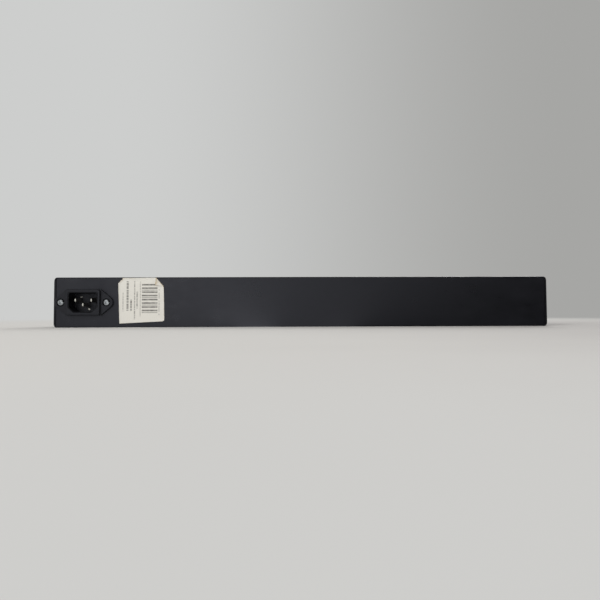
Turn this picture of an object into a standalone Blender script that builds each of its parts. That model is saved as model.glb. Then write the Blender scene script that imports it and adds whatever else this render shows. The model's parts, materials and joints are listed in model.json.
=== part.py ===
"""Rack power strip, one rack unit high, for a 19 inch rack.

An extruded aluminium channel holds a row of moulded outlet modules between its front lips, with a
plate for the rocker switch and the reset breaker, and a blank plate in front of the mains inlet.
Moulded caps close both ends. The inlet is screwed to the back, and wires and three stamped bus bars
join it to the outlets inside.

Metres, +Z up. X runs along the strip, -Y is the front with the outlets, +Y the back with the inlet.
Each piece is drawn about the channel's centre line, and the empty named strip puts that line in place.
"""

import math

import bmesh
import bpy
from mathutils import Vector

# ---------------------------------------------------------------- driving dimensions, in metres

# The whole strip
STRIP_LENGTH = 0.4400
STRIP_HEIGHT = 0.0444
CHANNEL_DEPTH = 0.0444

# Clearances
SEAT_GAP = 0.0003
PAPER_GAP = 0.0001

# Extruded channel
WALL = 0.0020
EDGE_RADIUS = 0.0010
LIP_REACH = 0.0024
LIP_THICKNESS = 0.0016
RAIL_THICKNESS = 0.0014
PORT_BORE_RADIUS = 0.00175
PORT_WALL = 0.0013
PORT_Y = 0.0060
PORT_MOUTH_ANGLE = math.radians(70)

# Moulded end caps
CAP_THICKNESS = 0.0022
CAP_CORNER_RADIUS = 0.0034
CAP_EDGE_RADIUS = 0.0016
CAP_TONGUE_LENGTH = 0.0070
CAP_TONGUE_THICKNESS = 0.0018
CAP_TONGUE_FRONT_Y = -0.0085
CAP_TONGUE_REAR_Y = 0.0145
CAP_TONGUE_WIDTH = 0.0080

# Countersunk screws of the caps
CAP_SCREW_RADIUS = 0.00145
CAP_SCREW_LENGTH = 0.0110
CAP_SCREW_HEAD_RADIUS = 0.0028
CAP_SCREW_HEAD_HEIGHT = 0.0015

# Outlet modules
OUTLET_COUNT = 8
OUTLET_PITCH = 0.0375
FACE_PROUD = 0.0002
FACE_REVEAL = 0.0002
TONGUE_THICKNESS = 0.0020
FACE_ROUND = 0.0004
FACE_CORNER_RADIUS = 0.0008
CORE_HEIGHT = 0.0240
CORE_WIDTH = 0.0159
CORE_CHAMFER = 0.0045
CORE_ROUND = 0.0012
ROUND_GROWTH = 0.5
CORE_EDGE = 0.0004
GROOVE_WIDTH = 0.0022
GROOVE_DEPTH = 0.0170
OUTLET_WALL = 0.0015
OUTLET_FLOOR = 0.0024
LEAD_IN = 0.0006

# Contact pattern, the same on the inlet and the outlets
CONTACT_SPREAD = 0.0070
CONTACT_OFFSET = 0.0020
PIN_THICKNESS = 0.0020
PIN_WIDTH = 0.0040
SLOT_CLEARANCE = 0.0004
SLOT_WALL = 0.0050
POCKET_HEIGHT = 0.0046
POCKET_WIDTH = 0.0062

# Stamped bus bars
BAR_THICKNESS = 0.0008
BAR_HEIGHT = 0.0050
BAR_OVERHANG = 0.0040
BAR_TAB_LENGTH = 0.0070
BAR_TAB_SHARE = 0.8
LEAF_THICKNESS = 0.0006
LEAF_WIDTH = 0.0050
LEAF_LENGTH = 0.0100
LEAF_ROOT = 0.0017
LEAF_THROAT = 0.0011
LEAF_BOW_START = 0.25
LEAF_BOW_WAIST = 0.78

# Control plate with the switch and the breaker
CONTROL_WIDTH = 0.0840
PLATE_THICKNESS = 0.0021
PLATE_RIM = 0.0030
SWITCH_FROM_EDGE = 0.0250
BREAKER_FROM_EDGE = 0.0240

# Rocker switch
SWITCH_CASE_WIDTH = 0.0220
SWITCH_CASE_HEIGHT = 0.0290
SWITCH_CASE_DEPTH = 0.0220
SWITCH_CASE_WALL = 0.0012
BEZEL_BORDER = 0.0017
BEZEL_THICKNESS = 0.0014
BEZEL_RADIUS = 0.0015
ROCKER_TILT = math.radians(10)
ROCKER_SIDE_GAP = 0.0004
ROCKER_END_GAP = 0.0012
ROCKER_DIP = 0.0010
ROCKER_SKIRT = 0.0020
ROCKER_KEEL_HALF = 0.0070
ROCKER_KEEL_DEPTH = 0.0065
PIVOT_DEPTH = 0.0040
PIVOT_RADIUS = 0.0015
WELL_DEPTH = 0.0086
TERMINAL_COLUMN = 0.0052
TERMINAL_ROW = 0.0062

# Quick-connect blades
BLADE_WIDTH = 0.0063
BLADE_THICKNESS = 0.0008
BLADE_LENGTH = 0.0080
BLADE_ROOT = 0.0030
BLADE_TIP_WIDTH = 0.7
BLADE_TIP_THICKNESS = 0.5

# Push-to-reset breaker
BREAKER_WIDTH = 0.0140
BREAKER_HEIGHT = 0.0280
BREAKER_DEPTH = 0.0220
NECK_RADIUS = 0.00475
NECK_LENGTH = 0.0064
NUT_RADIUS = 0.0076
NUT_THICKNESS = 0.0024
NUT_RIDGES = 18
NUT_SIDE_SHARE = 0.8
NUT_TOP_SHARE = 0.93
RIDGE_DEPTH = 0.0004
BUTTON_RADIUS = 0.0032
BUTTON_PROUD = 0.0024
BUTTON_TRAVEL = 0.0040
BUTTON_GUIDE = 0.0090
BREAKER_TERMINAL_ROW = 0.0085

# Mains inlet
INLET_FROM_END = 0.0272
RECESS_WIDTH = 0.0247
RECESS_HEIGHT = 0.0165
RECESS_CHAMFER = 0.0047
RECESS_ROUND = 0.0015
RECESS_DEPTH = 0.0177
INLET_LEAD_IN = 0.0009
INLET_WALL = 0.0014
INLET_FLOOR = 0.0036
BLOCK_WIDTH = 0.0304
BLOCK_HEIGHT = 0.0228
BLOCK_RISE = 0.0028
EAR_THICKNESS = 0.0024
EAR_RADIUS = 0.0056
INLET_SCREW_SPACING = 0.0400
EARTH_PIN_BELOW_MOUTH = 0.0010
PIN_BELOW_MOUTH = 0.0022
PIN_TAPER = 0.0016
PIN_TIP_SHARE = 0.55
INLET_SCREW_RADIUS = 0.0015
INLET_HEAD_RADIUS = 0.0027
INLET_HEAD_HEIGHT = 0.0014
INLET_HEAD_DOME = 0.0005
DOME_STEPS = ((0.35, 1.0), (0.75, 0.7))
INLET_SCREW_LENGTH = 0.0100
NUT_FLATS = 0.0055
NUT_HEIGHT = 0.0024

# Paper label on the back
LABEL_WIDTH = 0.0410
LABEL_HEIGHT = 0.0408
LABEL_THICKNESS = 0.00025
LABEL_X = 0.1414
LABEL_RISE = 0.0014
LABEL_TURN = math.radians(1.6)
LABEL_TORN_CORNER = 0.0046
LABEL_FOLD_ACROSS = 0.0068
LABEL_FOLD_DOWN = 0.0078
LABEL_FLAP = 0.8
LABEL_FLAP_INSET = 0.03

# Wires and the earth stud
WIRE_RADIUS = 0.0013
WIRE_STEP = 0.0038
STUD_RADIUS = 0.0020
STUD_LENGTH = 0.0085
STUD_FROM_INLET = 0.0190
STUD_Y = 0.0140
STUD_NUT_FLATS = 0.0070
STUD_NUT_HEIGHT = 0.0032
LUG_THICKNESS = 0.0008
LUG_RADIUS = 0.0038
LUG_REACH = 0.0050
LUG_NECK_WIDTH = 0.0024
BARREL_RADIUS = 0.0015
BARREL_LENGTH = 0.0055
BARREL_RISE = 0.8

# Facets of round pieces
CORNER_POINTS = 4
ROUND_POINTS = 16

# ---------------------------------------------------------------- places worked out from them

CHAMFER_GROWTH = 2 - math.sqrt(2)
HALF_DEPTH = CHANNEL_DEPTH / 2
HALF_HEIGHT = STRIP_HEIGHT / 2
CHANNEL_HALF = STRIP_LENGTH / 2 - CAP_THICKNESS - SEAT_GAP
GROOVE_FRONT = -HALF_DEPTH + LIP_THICKNESS
GROOVE_BACK = GROOVE_FRONT + TONGUE_THICKNESS + 2 * SEAT_GAP
RAIL_BACK = GROOVE_BACK + RAIL_THICKNESS
MOUTH_HALF = HALF_HEIGHT - WALL - LIP_REACH
PORT_CENTRE = HALF_HEIGHT - WALL - PORT_BORE_RADIUS - PORT_WALL / 2

FACE_Y = -HALF_DEPTH - FACE_PROUD
TONGUE_FRONT = GROOVE_FRONT + SEAT_GAP
TONGUE_BACK = TONGUE_FRONT + TONGUE_THICKNESS
FACE_HEIGHT = 2 * (MOUTH_HALF - SEAT_GAP)
TONGUE_HEIGHT = 2 * (HALF_HEIGHT - WALL - SEAT_GAP)
OUTLET_BACK = FACE_Y + GROOVE_DEPTH + OUTLET_FLOOR

MODULE_WIDTH = OUTLET_PITCH - SEAT_GAP
ROW_START = -CHANNEL_HALF + SEAT_GAP
ROW_END = ROW_START + OUTLET_COUNT * OUTLET_PITCH
CONTROL_X = ROW_END + CONTROL_WIDTH / 2
BLANK_START = ROW_END + CONTROL_WIDTH + SEAT_GAP
BLANK_WIDTH = CHANNEL_HALF - SEAT_GAP - BLANK_START
BLANK_X = BLANK_START + BLANK_WIDTH / 2
SWITCH_X = ROW_END + SWITCH_FROM_EDGE
BREAKER_X = ROW_END + CONTROL_WIDTH - BREAKER_FROM_EDGE
PLATE_BACK = FACE_Y + PLATE_THICKNESS

BAR_FRONT = OUTLET_BACK + SEAT_GAP
BAR_BACK = BAR_FRONT + BAR_THICKNESS
BAR_END = ROW_END - OUTLET_PITCH / 2 + LEAF_WIDTH + BAR_OVERHANG

BEZEL_BACK = FACE_Y - SEAT_GAP
BEZEL_FRONT = BEZEL_BACK - BEZEL_THICKNESS
CASE_BACK = BEZEL_BACK + SWITCH_CASE_DEPTH
PIVOT_Y = BEZEL_FRONT + PIVOT_DEPTH
ROCKER_HALF = SWITCH_CASE_HEIGHT / 2 - SWITCH_CASE_WALL - ROCKER_END_GAP
ROCKER_RISE = ROCKER_HALF * math.tan(ROCKER_TILT)
ROCKER_WIDTH = SWITCH_CASE_WIDTH - 2 * (SWITCH_CASE_WALL + ROCKER_SIDE_GAP)

BREAKER_FRONT = PLATE_BACK + SEAT_GAP
BREAKER_BACK = BREAKER_FRONT + BREAKER_DEPTH
NECK_FRONT = BREAKER_FRONT - NECK_LENGTH
NUT_BACK = FACE_Y - SEAT_GAP

INLET_X = STRIP_LENGTH / 2 - INLET_FROM_END
EAR_BACK = HALF_DEPTH + SEAT_GAP
EAR_FRONT = EAR_BACK + EAR_THICKNESS
BLOCK_FRONT = EAR_FRONT + BLOCK_RISE
RECESS_FLOOR = BLOCK_FRONT - RECESS_DEPTH
INLET_BACK = RECESS_FLOOR - INLET_FLOOR
INLET_BLADE_END = INLET_BACK - BLADE_LENGTH
NUT_SEAT = HALF_DEPTH - WALL - SEAT_GAP

STUD_X = INLET_X - STUD_FROM_INLET
STUD_FOOT = -HALF_HEIGHT + WALL + SEAT_GAP
LOWER_LUG = STUD_FOOT
UPPER_LUG = LOWER_LUG + LUG_THICKNESS + SEAT_GAP
BARREL_ABOVE_LUG = LUG_THICKNESS / 2 + BARREL_RISE * BARREL_RADIUS
BARREL_END = LUG_REACH + BARREL_LENGTH

ROCKER_TOP_ABOVE_PIVOT = PIVOT_DEPTH + ROCKER_DIP + ROCKER_RISE
ROCKER_REACH = ROCKER_TOP_ABOVE_PIVOT * math.cos(ROCKER_TILT) + ROCKER_HALF * math.sin(ROCKER_TILT)
FRONT_REACH = -(PIVOT_Y - ROCKER_REACH)
STRIP_CENTRE_Y = (FRONT_REACH - BLOCK_FRONT) / 2

# ---------------------------------------------------------------- scene and materials

for stale in list(bpy.data.objects):
    bpy.data.objects.remove(stale, do_unlink=True)

strip = bpy.data.objects.new("strip", None)
strip.location = (0, STRIP_CENTRE_Y, HALF_HEIGHT)
bpy.context.scene.collection.objects.link(strip)


def material(name, colour, roughness, metallic=0.0):
    made = bpy.data.materials.new(name)
    made.use_nodes = True
    shader = made.node_tree.nodes["Principled BSDF"]
    shader.inputs["Base Color"].default_value = (*colour, 1.0)
    shader.inputs["Roughness"].default_value = roughness
    shader.inputs["Metallic"].default_value = metallic
    return made


BLACK_COATING = material("black_powder_coat", (0.030, 0.031, 0.036), 0.45)
BLACK_ABS = material("black_abs", (0.022, 0.022, 0.025), 0.50)
BLACK_NYLON = material("black_nylon", (0.018, 0.018, 0.020), 0.42)
RED_ROCKER = material("red_polycarbonate", (0.50, 0.020, 0.018), 0.25)
BRASS = material("brass", (0.72, 0.52, 0.24), 0.32, 1.0)
NICKEL = material("nickel_plate", (0.70, 0.68, 0.63), 0.25, 1.0)
ZINC = material("zinc_plated_steel", (0.66, 0.67, 0.68), 0.30, 1.0)
PAPER = material("label_paper", (0.64, 0.62, 0.58), 0.80)
BROWN_WIRE = material("brown_insulation", (0.16, 0.06, 0.03), 0.45)
BLUE_WIRE = material("blue_insulation", (0.03, 0.10, 0.36), 0.45)
GREEN_WIRE = material("green_yellow_insulation", (0.22, 0.34, 0.05), 0.45)

# ---------------------------------------------------------------- modelling tools


def place(obj, finish, parent=strip):
    """Link an object into the scene on its parent, with its material."""
    bpy.context.scene.collection.objects.link(obj)
    obj.parent = parent
    if finish is not None:
        obj.data.materials.append(finish)
    return obj


def solid(name, bodies, finish=None, smooth_angle=None, parent=strip):
    """A mesh object of one or more closed bodies, each a list of rings that are skinned and capped."""
    mesh = bmesh.new()
    for rings in bodies:
        loops = [[mesh.verts.new(point) for point in ring] for ring in rings]
        count = len(loops[0])
        for low, high in zip(loops, loops[1:]):
            for i in range(count):
                j = (i + 1) % count
                mesh.faces.new((low[i], low[j], high[j], high[i]))
        mesh.faces.new(loops[0])
        mesh.faces.new(loops[-1])
    bmesh.ops.recalc_face_normals(mesh, faces=mesh.faces)
    data = bpy.data.meshes.new(name)
    mesh.to_mesh(data)
    mesh.free()
    if smooth_angle is not None:
        data.shade_smooth()
        data.set_sharp_from_angle(angle=smooth_angle)
    return place(bpy.data.objects.new(name, data), finish, parent)


def combine(target, tool, operation="DIFFERENCE"):
    """Cut the tool from the target, or join it on, with a Boolean that stays on the target."""
    tool.hide_render = True
    tool.display_type = "WIRE"
    step = target.modifiers.new(tool.name, "BOOLEAN")
    step.operation = operation
    step.object = tool
    return target


def outline(width, height, radius, chamfers=None):
    """A rectangle's outline, counter-clockwise from the right side, with round corners.

    chamfers maps a corner (0 top right, 1 top left, 2 bottom left, 3 bottom right) to the size of a
    straight cut. Every corner has CORNER_POINTS points, so any two outlines can be skinned.
    """
    points = []
    for corner, (sx, sz) in enumerate(((1, 1), (-1, 1), (-1, -1), (1, -1))):
        size = (chamfers or {}).get(corner, radius)
        centre = (sx * (width / 2 - size), sz * (height / 2 - size))
        start = math.radians(90 * corner)
        for i in range(CORNER_POINTS):
            share = i / (CORNER_POINTS - 1)
            angle = start + share * math.pi / 2
            across, up = math.cos(angle), math.sin(angle)
            if chamfers and corner in chamfers:
                first = (math.cos(start), math.sin(start))
                last = (-first[1], first[0])
                across = first[0] + share * (last[0] - first[0])
                up = first[1] + share * (last[1] - first[1])
            points.append((centre[0] + size * across, centre[1] + size * up))
    return points


def rectangle(width, height):
    w, h = width / 2, height / 2
    return [(w, h), (-w, h), (-w, -h), (w, -h)]


def circle(radius, count=ROUND_POINTS):
    angles = [math.tau * i / count for i in range(count)]
    return [(radius * math.cos(a), radius * math.sin(a)) for a in angles]


def across_y(points, y, x=0.0, z=0.0):
    """Stand a flat outline up in the XZ plane at depth y."""
    return [(x + px, y, z + pz) for px, pz in points]


def across_x(points, x, y=0.0, z=0.0):
    """Stand a flat outline up in the YZ plane at station x."""
    return [(x, y + py, z + pz) for py, pz in points]


def across_z(points, z, x=0.0, y=0.0):
    """Lay a flat outline down in the XY plane at height z."""
    return [(x + px, y + py, z) for px, py in points]


def turned(profile, centre_x=0.0, centre_z=0.0, count=ROUND_POINTS):
    """Rings of a piece turned about a line along Y: profile lists (radius, y)."""
    return [across_y(circle(r, count), y, centre_x, centre_z) for r, y in profile]


# ---------------------------------------------------------------- extruded channel


def arc(centre, radius, start, end, steps):
    angles = [start + (end - start) * i / steps for i in range(steps + 1)]
    return [(centre[0] + radius * math.cos(a), centre[1] + radius * math.sin(a)) for a in angles]


def lower_half_of_channel():
    """The channel's section below its centre line, from the outside of the back wall to its inside."""
    outer_back = (HALF_DEPTH - EDGE_RADIUS, -HALF_HEIGHT + EDGE_RADIUS)
    outer_front = (-HALF_DEPTH + EDGE_RADIUS, -HALF_HEIGHT + EDGE_RADIUS)
    floor = -HALF_HEIGHT + WALL
    port_radius = PORT_BORE_RADIUS + PORT_WALL
    port = (PORT_Y, -PORT_CENTRE)
    foot = math.asin((PORT_CENTRE - HALF_HEIGHT + WALL) / port_radius)
    half_mouth = PORT_MOUTH_ANGLE / 2
    up = math.pi / 2
    section = arc(outer_back, EDGE_RADIUS, 0, -up, 3)
    section += arc(outer_front, EDGE_RADIUS, -up, -2 * up, 3)
    section += [
        (-HALF_DEPTH, -MOUTH_HALF),
        (GROOVE_FRONT, -MOUTH_HALF),
        (GROOVE_FRONT, floor),
        (GROOVE_BACK, floor),
        (GROOVE_BACK, -MOUTH_HALF),
        (RAIL_BACK, -MOUTH_HALF),
        (RAIL_BACK, floor),
    ]
    section += arc(port, port_radius, math.pi - foot, up + half_mouth, 4)
    section += arc(port, PORT_BORE_RADIUS, up + half_mouth, 5 * up - half_mouth, 9)
    section += arc(port, port_radius, up - half_mouth, foot, 4)
    section += [(HALF_DEPTH - WALL, floor)]
    return section


def make_channel():
    lower = lower_half_of_channel()
    upper = [(y, -z) for y, z in reversed(lower)]
    section = lower + upper
    channel = solid(
        "housing_channel",
        [[across_x(section, -CHANNEL_HALF), across_x(section, CHANNEL_HALF)]],
        BLACK_COATING,
        math.radians(40),
    )
    shell = outline(
        RECESS_WIDTH + 2 * (INLET_WALL + SEAT_GAP),
        RECESS_HEIGHT + 2 * (INLET_WALL + SEAT_GAP),
        RECESS_ROUND,
    )
    hole = circle(INLET_SCREW_RADIUS + SEAT_GAP)
    inside, outside = HALF_DEPTH - 2 * WALL, HALF_DEPTH + WALL
    holes = [
        [across_y(hole, y, INLET_X + side * INLET_SCREW_SPACING / 2) for y in (inside, outside)]
        for side in (-1, 1)
    ]
    opening = [across_y(shell, y, INLET_X) for y in (inside, outside)]
    combine(channel, solid("inlet_opening_cutter", [opening, *holes]))


# ---------------------------------------------------------------- end caps and their screws


def make_cap(name, side):
    """A cap's plate, rounded all round outside, with four tongues that slide into the channel."""
    inner = side * (STRIP_LENGTH / 2 - CAP_THICKNESS)
    rings = []
    for x, shrink in [(0.0, 0.0)] + [
        (
            CAP_THICKNESS - CAP_EDGE_RADIUS * (1 - math.sin(turn)),
            CAP_EDGE_RADIUS * (1 - math.cos(turn)),
        )
        for turn in (math.radians(30 * i) for i in range(4))
    ]:
        size = outline(
            CHANNEL_DEPTH - 2 * shrink,
            STRIP_HEIGHT - 2 * shrink,
            CAP_CORNER_RADIUS if x > 0 else EDGE_RADIUS,
        )
        rings.append(across_x(size, inner + side * x))
    cap = solid(name, [rings], BLACK_ABS, math.radians(50))

    tongue = rectangle(CAP_TONGUE_WIDTH, CAP_TONGUE_THICKNESS)
    height = HALF_HEIGHT - WALL - SEAT_GAP - CAP_TONGUE_THICKNESS / 2
    stations = (inner + side * CAP_THICKNESS / 2, inner - side * CAP_TONGUE_LENGTH)
    tongues = [
        [across_x(tongue, x, y, z) for x in stations]
        for y in (CAP_TONGUE_FRONT_Y, CAP_TONGUE_REAR_Y)
        for z in (-height, height)
    ]
    combine(cap, solid(name + "_tongues", tongues), "UNION")

    face = side * STRIP_LENGTH / 2
    sinks = []
    for z in (-PORT_CENTRE, PORT_CENTRE):
        profile = (
            (CAP_SCREW_HEAD_RADIUS + SEAT_GAP, face + side * WALL),
            (CAP_SCREW_HEAD_RADIUS + SEAT_GAP, face - side * SEAT_GAP),
            (CAP_SCREW_RADIUS + SEAT_GAP, face - side * CAP_SCREW_HEAD_HEIGHT),
            (CAP_SCREW_RADIUS + SEAT_GAP, inner - side * WALL),
        )
        sinks.append([across_x(circle(r), x, PORT_Y, z) for r, x in profile])
    combine(cap, solid(name + "_countersinks", sinks))


def make_cap_screw(name, side, z):
    face = side * STRIP_LENGTH / 2
    neck = CAP_SCREW_HEAD_HEIGHT + SEAT_GAP
    profile = (
        (CAP_SCREW_HEAD_RADIUS, 0.0),
        (CAP_SCREW_HEAD_RADIUS, SEAT_GAP),
        (CAP_SCREW_RADIUS, neck),
        (CAP_SCREW_RADIUS, CAP_SCREW_LENGTH - CAP_SCREW_RADIUS),
        (CAP_SCREW_RADIUS / 3, CAP_SCREW_LENGTH),
    )
    rings = [across_x(circle(r, 12), face - side * depth, PORT_Y, z) for r, depth in profile]
    solid(name, [rings], ZINC, math.radians(40))


# ---------------------------------------------------------------- outlet modules


def module_rings(width, back_rings):
    """The rings of a front module from behind to its face: tongues in the grooves, face in the mouth."""
    tongue = outline(width, TONGUE_HEIGHT, FACE_CORNER_RADIUS)
    face_width = width - 2 * FACE_REVEAL
    face = outline(face_width, FACE_HEIGHT, FACE_CORNER_RADIUS)
    crown = outline(face_width - 2 * FACE_ROUND, FACE_HEIGHT - 2 * FACE_ROUND, FACE_CORNER_RADIUS)
    return back_rings + [
        across_y(tongue, TONGUE_BACK),
        across_y(tongue, TONGUE_FRONT),
        across_y(face, TONGUE_FRONT),
        across_y(face, FACE_Y + FACE_ROUND),
        across_y(crown, FACE_Y),
    ]


def contact_outline(grow, shrink=0.0):
    """The standing mains outline, with its two cut corners on the earth side."""
    size = 2 * (grow - shrink)
    corner = CORE_CHAMFER + grow * CHAMFER_GROWTH
    return outline(
        CORE_WIDTH + size,
        CORE_HEIGHT + size,
        CORE_ROUND + grow * ROUND_GROWTH,
        {0: corner, 3: corner},
    )


def contact_places():
    """Across and up from the middle of a standing outlet: live, neutral, earth."""
    return (
        (-CONTACT_OFFSET, CONTACT_SPREAD),
        (-CONTACT_OFFSET, -CONTACT_SPREAD),
        (CONTACT_OFFSET, 0.0),
    )


def outlet_mesh():
    """One outlet: a shell round a groove, and inside the groove a core with three contact slots."""
    groove_bottom = FACE_Y + GROOVE_DEPTH
    body = outline(
        CORE_WIDTH + 2 * (GROOVE_WIDTH + OUTLET_WALL),
        CORE_HEIGHT + 2 * (GROOVE_WIDTH + OUTLET_WALL),
        2 * CORE_ROUND,
    )
    rings = module_rings(MODULE_WIDTH, [across_y(body, OUTLET_BACK), across_y(body, TONGUE_BACK)])
    rings += [
        across_y(contact_outline(GROOVE_WIDTH + LEAD_IN), FACE_Y),
        across_y(contact_outline(GROOVE_WIDTH), FACE_Y + LEAD_IN),
        across_y(contact_outline(GROOVE_WIDTH), groove_bottom),
        across_y(contact_outline(0.0), groove_bottom),
        across_y(contact_outline(0.0), FACE_Y + CORE_EDGE),
        across_y(contact_outline(0.0, CORE_EDGE), FACE_Y),
    ]
    outlet = solid("outlet_pattern", [rings], BLACK_NYLON, math.radians(35))

    slot = rectangle(PIN_WIDTH + 2 * SLOT_CLEARANCE, PIN_THICKNESS + 2 * SLOT_CLEARANCE)
    pocket = rectangle(POCKET_WIDTH, POCKET_HEIGHT)
    stations = (
        (slot, FACE_Y - SLOT_WALL),
        (slot, FACE_Y + SLOT_WALL),
        (pocket, FACE_Y + SLOT_WALL),
        (pocket, OUTLET_BACK + SLOT_WALL),
    )
    slots = [[across_y(shape, y, x, z) for shape, y in stations] for x, z in contact_places()]
    cutter = solid("outlet_slot_cutter", slots)
    combine(outlet, cutter)

    bpy.context.view_layer.update()
    evaluated = outlet.evaluated_get(bpy.context.evaluated_depsgraph_get())
    finished = bpy.data.meshes.new_from_object(evaluated)
    for tool in (outlet, cutter):
        bpy.data.objects.remove(tool, do_unlink=True)
    return finished


def outlet_x(number):
    """Station of an outlet's middle. Outlet 1 is next to the control plate."""
    return ROW_END - SEAT_GAP / 2 - (number - 0.5) * OUTLET_PITCH


def make_outlets():
    mesh = outlet_mesh()
    mesh.name = "outlet"
    for number in range(1, OUTLET_COUNT + 1):
        outlet = place(bpy.data.objects.new("outlet_%d" % number, mesh), None)
        outlet.location.x = outlet_x(number)


# ---------------------------------------------------------------- bus bars


def leaf_bodies(contact_x, bar_z):
    """Two bowed spring leaves that grip one pin from above and below."""
    half = LEAF_THICKNESS / 2
    root = BAR_FRONT + BAR_THICKNESS / 2
    path = (
        (root, LEAF_ROOT),
        (BAR_FRONT - LEAF_LENGTH * LEAF_BOW_START, LEAF_ROOT),
        (BAR_FRONT - LEAF_LENGTH * LEAF_BOW_WAIST, LEAF_THROAT),
        (BAR_FRONT - LEAF_LENGTH, LEAF_ROOT),
    )
    bodies = []
    for side in (-1, 1):
        section = [(y, side * (rise + half)) for y, rise in path]
        section += [(y, side * (rise - half)) for y, rise in reversed(path)]
        stations = (contact_x - LEAF_WIDTH / 2, contact_x + LEAF_WIDTH / 2)
        bodies.append([across_x(section, x, 0.0, bar_z) for x in stations])
    return bodies


def make_bar(name, across, bar_z):
    """A strip behind the outlets, with a pair of leaves into each and a tab for its wire."""
    strip_section = rectangle(BAR_THICKNESS, BAR_HEIGHT)
    middle = (BAR_FRONT + BAR_BACK) / 2
    start = outlet_x(OUTLET_COUNT) + across - LEAF_WIDTH / 2 - BAR_OVERHANG
    bar = solid(
        name,
        [[across_x(strip_section, x, middle, bar_z) for x in (start, BAR_END)]],
        BRASS,
    )
    leaves = []
    for number in range(1, OUTLET_COUNT + 1):
        leaves += leaf_bodies(outlet_x(number) + across, bar_z)
    combine(bar, solid(name + "_leaves", leaves), "UNION")
    tab = rectangle(BAR_THICKNESS, BAR_HEIGHT * BAR_TAB_SHARE)
    tab_x = BAR_END - BAR_THICKNESS
    tab_rings = [across_y(tab, y, tab_x, bar_z) for y in (middle, BAR_BACK + BAR_TAB_LENGTH)]
    combine(bar, solid(name + "_tab", [tab_rings]), "UNION")


# ---------------------------------------------------------------- plates


def plate_back(width):
    """The pocket behind a plate: its rim stands in the grooves and its floor is the plate's back."""
    pocket = outline(width - 2 * PLATE_RIM, FACE_HEIGHT - PLATE_RIM, FACE_CORNER_RADIUS)
    return [across_y(pocket, PLATE_BACK), across_y(pocket, TONGUE_BACK)]


def make_blank_plate():
    plate = solid(
        "blank_plate",
        [module_rings(BLANK_WIDTH, plate_back(BLANK_WIDTH))],
        BLACK_NYLON,
        math.radians(35),
    )
    plate.location.x = BLANK_X


def make_control_plate():
    width = CONTROL_WIDTH - SEAT_GAP
    plate = solid(
        "control_plate",
        [module_rings(width, plate_back(width))],
        BLACK_NYLON,
        math.radians(35),
    )
    plate.location.x = CONTROL_X
    hole = outline(
        SWITCH_CASE_WIDTH + 2 * SEAT_GAP, SWITCH_CASE_HEIGHT + 2 * SEAT_GAP, SEAT_GAP
    )
    front, back = FACE_Y - WALL, PLATE_BACK + WALL
    cuts = [
        [across_y(hole, y, SWITCH_X) for y in (front, back)],
        turned([(NECK_RADIUS + SEAT_GAP, front), (NECK_RADIUS + SEAT_GAP, back)], BREAKER_X),
    ]
    combine(plate, solid("control_cutouts", cuts))


# ---------------------------------------------------------------- blades


def blade_rings(x, z, start, end, root_gap=0.0):
    """A flat quick-connect blade along +Y, with its tip drawn in."""
    full = rectangle(BLADE_WIDTH, BLADE_THICKNESS)
    tip = rectangle(BLADE_WIDTH * BLADE_TIP_WIDTH, BLADE_THICKNESS * BLADE_TIP_THICKNESS)
    return [
        across_y(full, start + root_gap, x, z),
        across_y(full, end - BLADE_THICKNESS, x, z),
        across_y(tip, end, x, z),
    ]


def blade_slot(x, z, start, end):
    slot = rectangle(BLADE_WIDTH + 2 * SEAT_GAP, BLADE_THICKNESS + 2 * SEAT_GAP)
    return [across_y(slot, start, x, z), across_y(slot, end, x, z)]


# ---------------------------------------------------------------- rocker switch


def switch_terminals():
    return (
        ("switch_terminal_live_in", TERMINAL_COLUMN, TERMINAL_ROW),
        ("switch_terminal_live_out", TERMINAL_COLUMN, -TERMINAL_ROW),
        ("switch_terminal_neutral_in", -TERMINAL_COLUMN, TERMINAL_ROW),
        ("switch_terminal_neutral_out", -TERMINAL_COLUMN, -TERMINAL_ROW),
    )


def make_switch_body():
    """Case and bezel in one moulding, with a well for the rocker and bearing holes for its trunnions."""
    case = outline(SWITCH_CASE_WIDTH, SWITCH_CASE_HEIGHT, SEAT_GAP)
    bezel_size = (SWITCH_CASE_WIDTH + 2 * BEZEL_BORDER, SWITCH_CASE_HEIGHT + 2 * BEZEL_BORDER)
    bezel = outline(*bezel_size, BEZEL_RADIUS)
    crown = outline(bezel_size[0] - 2 * FACE_ROUND, bezel_size[1] - 2 * FACE_ROUND, BEZEL_RADIUS)
    well = outline(
        SWITCH_CASE_WIDTH - 2 * SWITCH_CASE_WALL,
        SWITCH_CASE_HEIGHT - 2 * SWITCH_CASE_WALL,
        SEAT_GAP,
    )
    rings = [
        across_y(case, CASE_BACK),
        across_y(case, BEZEL_BACK),
        across_y(bezel, BEZEL_BACK),
        across_y(bezel, BEZEL_FRONT + FACE_ROUND),
        across_y(crown, BEZEL_FRONT),
        across_y(well, BEZEL_FRONT),
        across_y(well, BEZEL_FRONT + WELL_DEPTH),
    ]
    body = solid("switch_body", [rings], BLACK_NYLON, math.radians(35))
    body.location.x = SWITCH_X
    reach = SWITCH_CASE_WIDTH / 2 + WALL
    bearing = circle(PIVOT_RADIUS + SEAT_GAP)
    cuts = [[across_x(bearing, SWITCH_X + x, PIVOT_Y) for x in (-reach, reach)]]
    cuts += [
        blade_slot(SWITCH_X + x, z, CASE_BACK - BLADE_ROOT, CASE_BACK + WALL)
        for _, x, z in switch_terminals()
    ]
    combine(body, solid("switch_body_cutter", cuts))
    for name, x, z in switch_terminals():
        rings = blade_rings(SWITCH_X + x, z, CASE_BACK - BLADE_ROOT, CASE_BACK + BLADE_LENGTH, SEAT_GAP)
        solid(name, [rings], BRASS)


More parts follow.
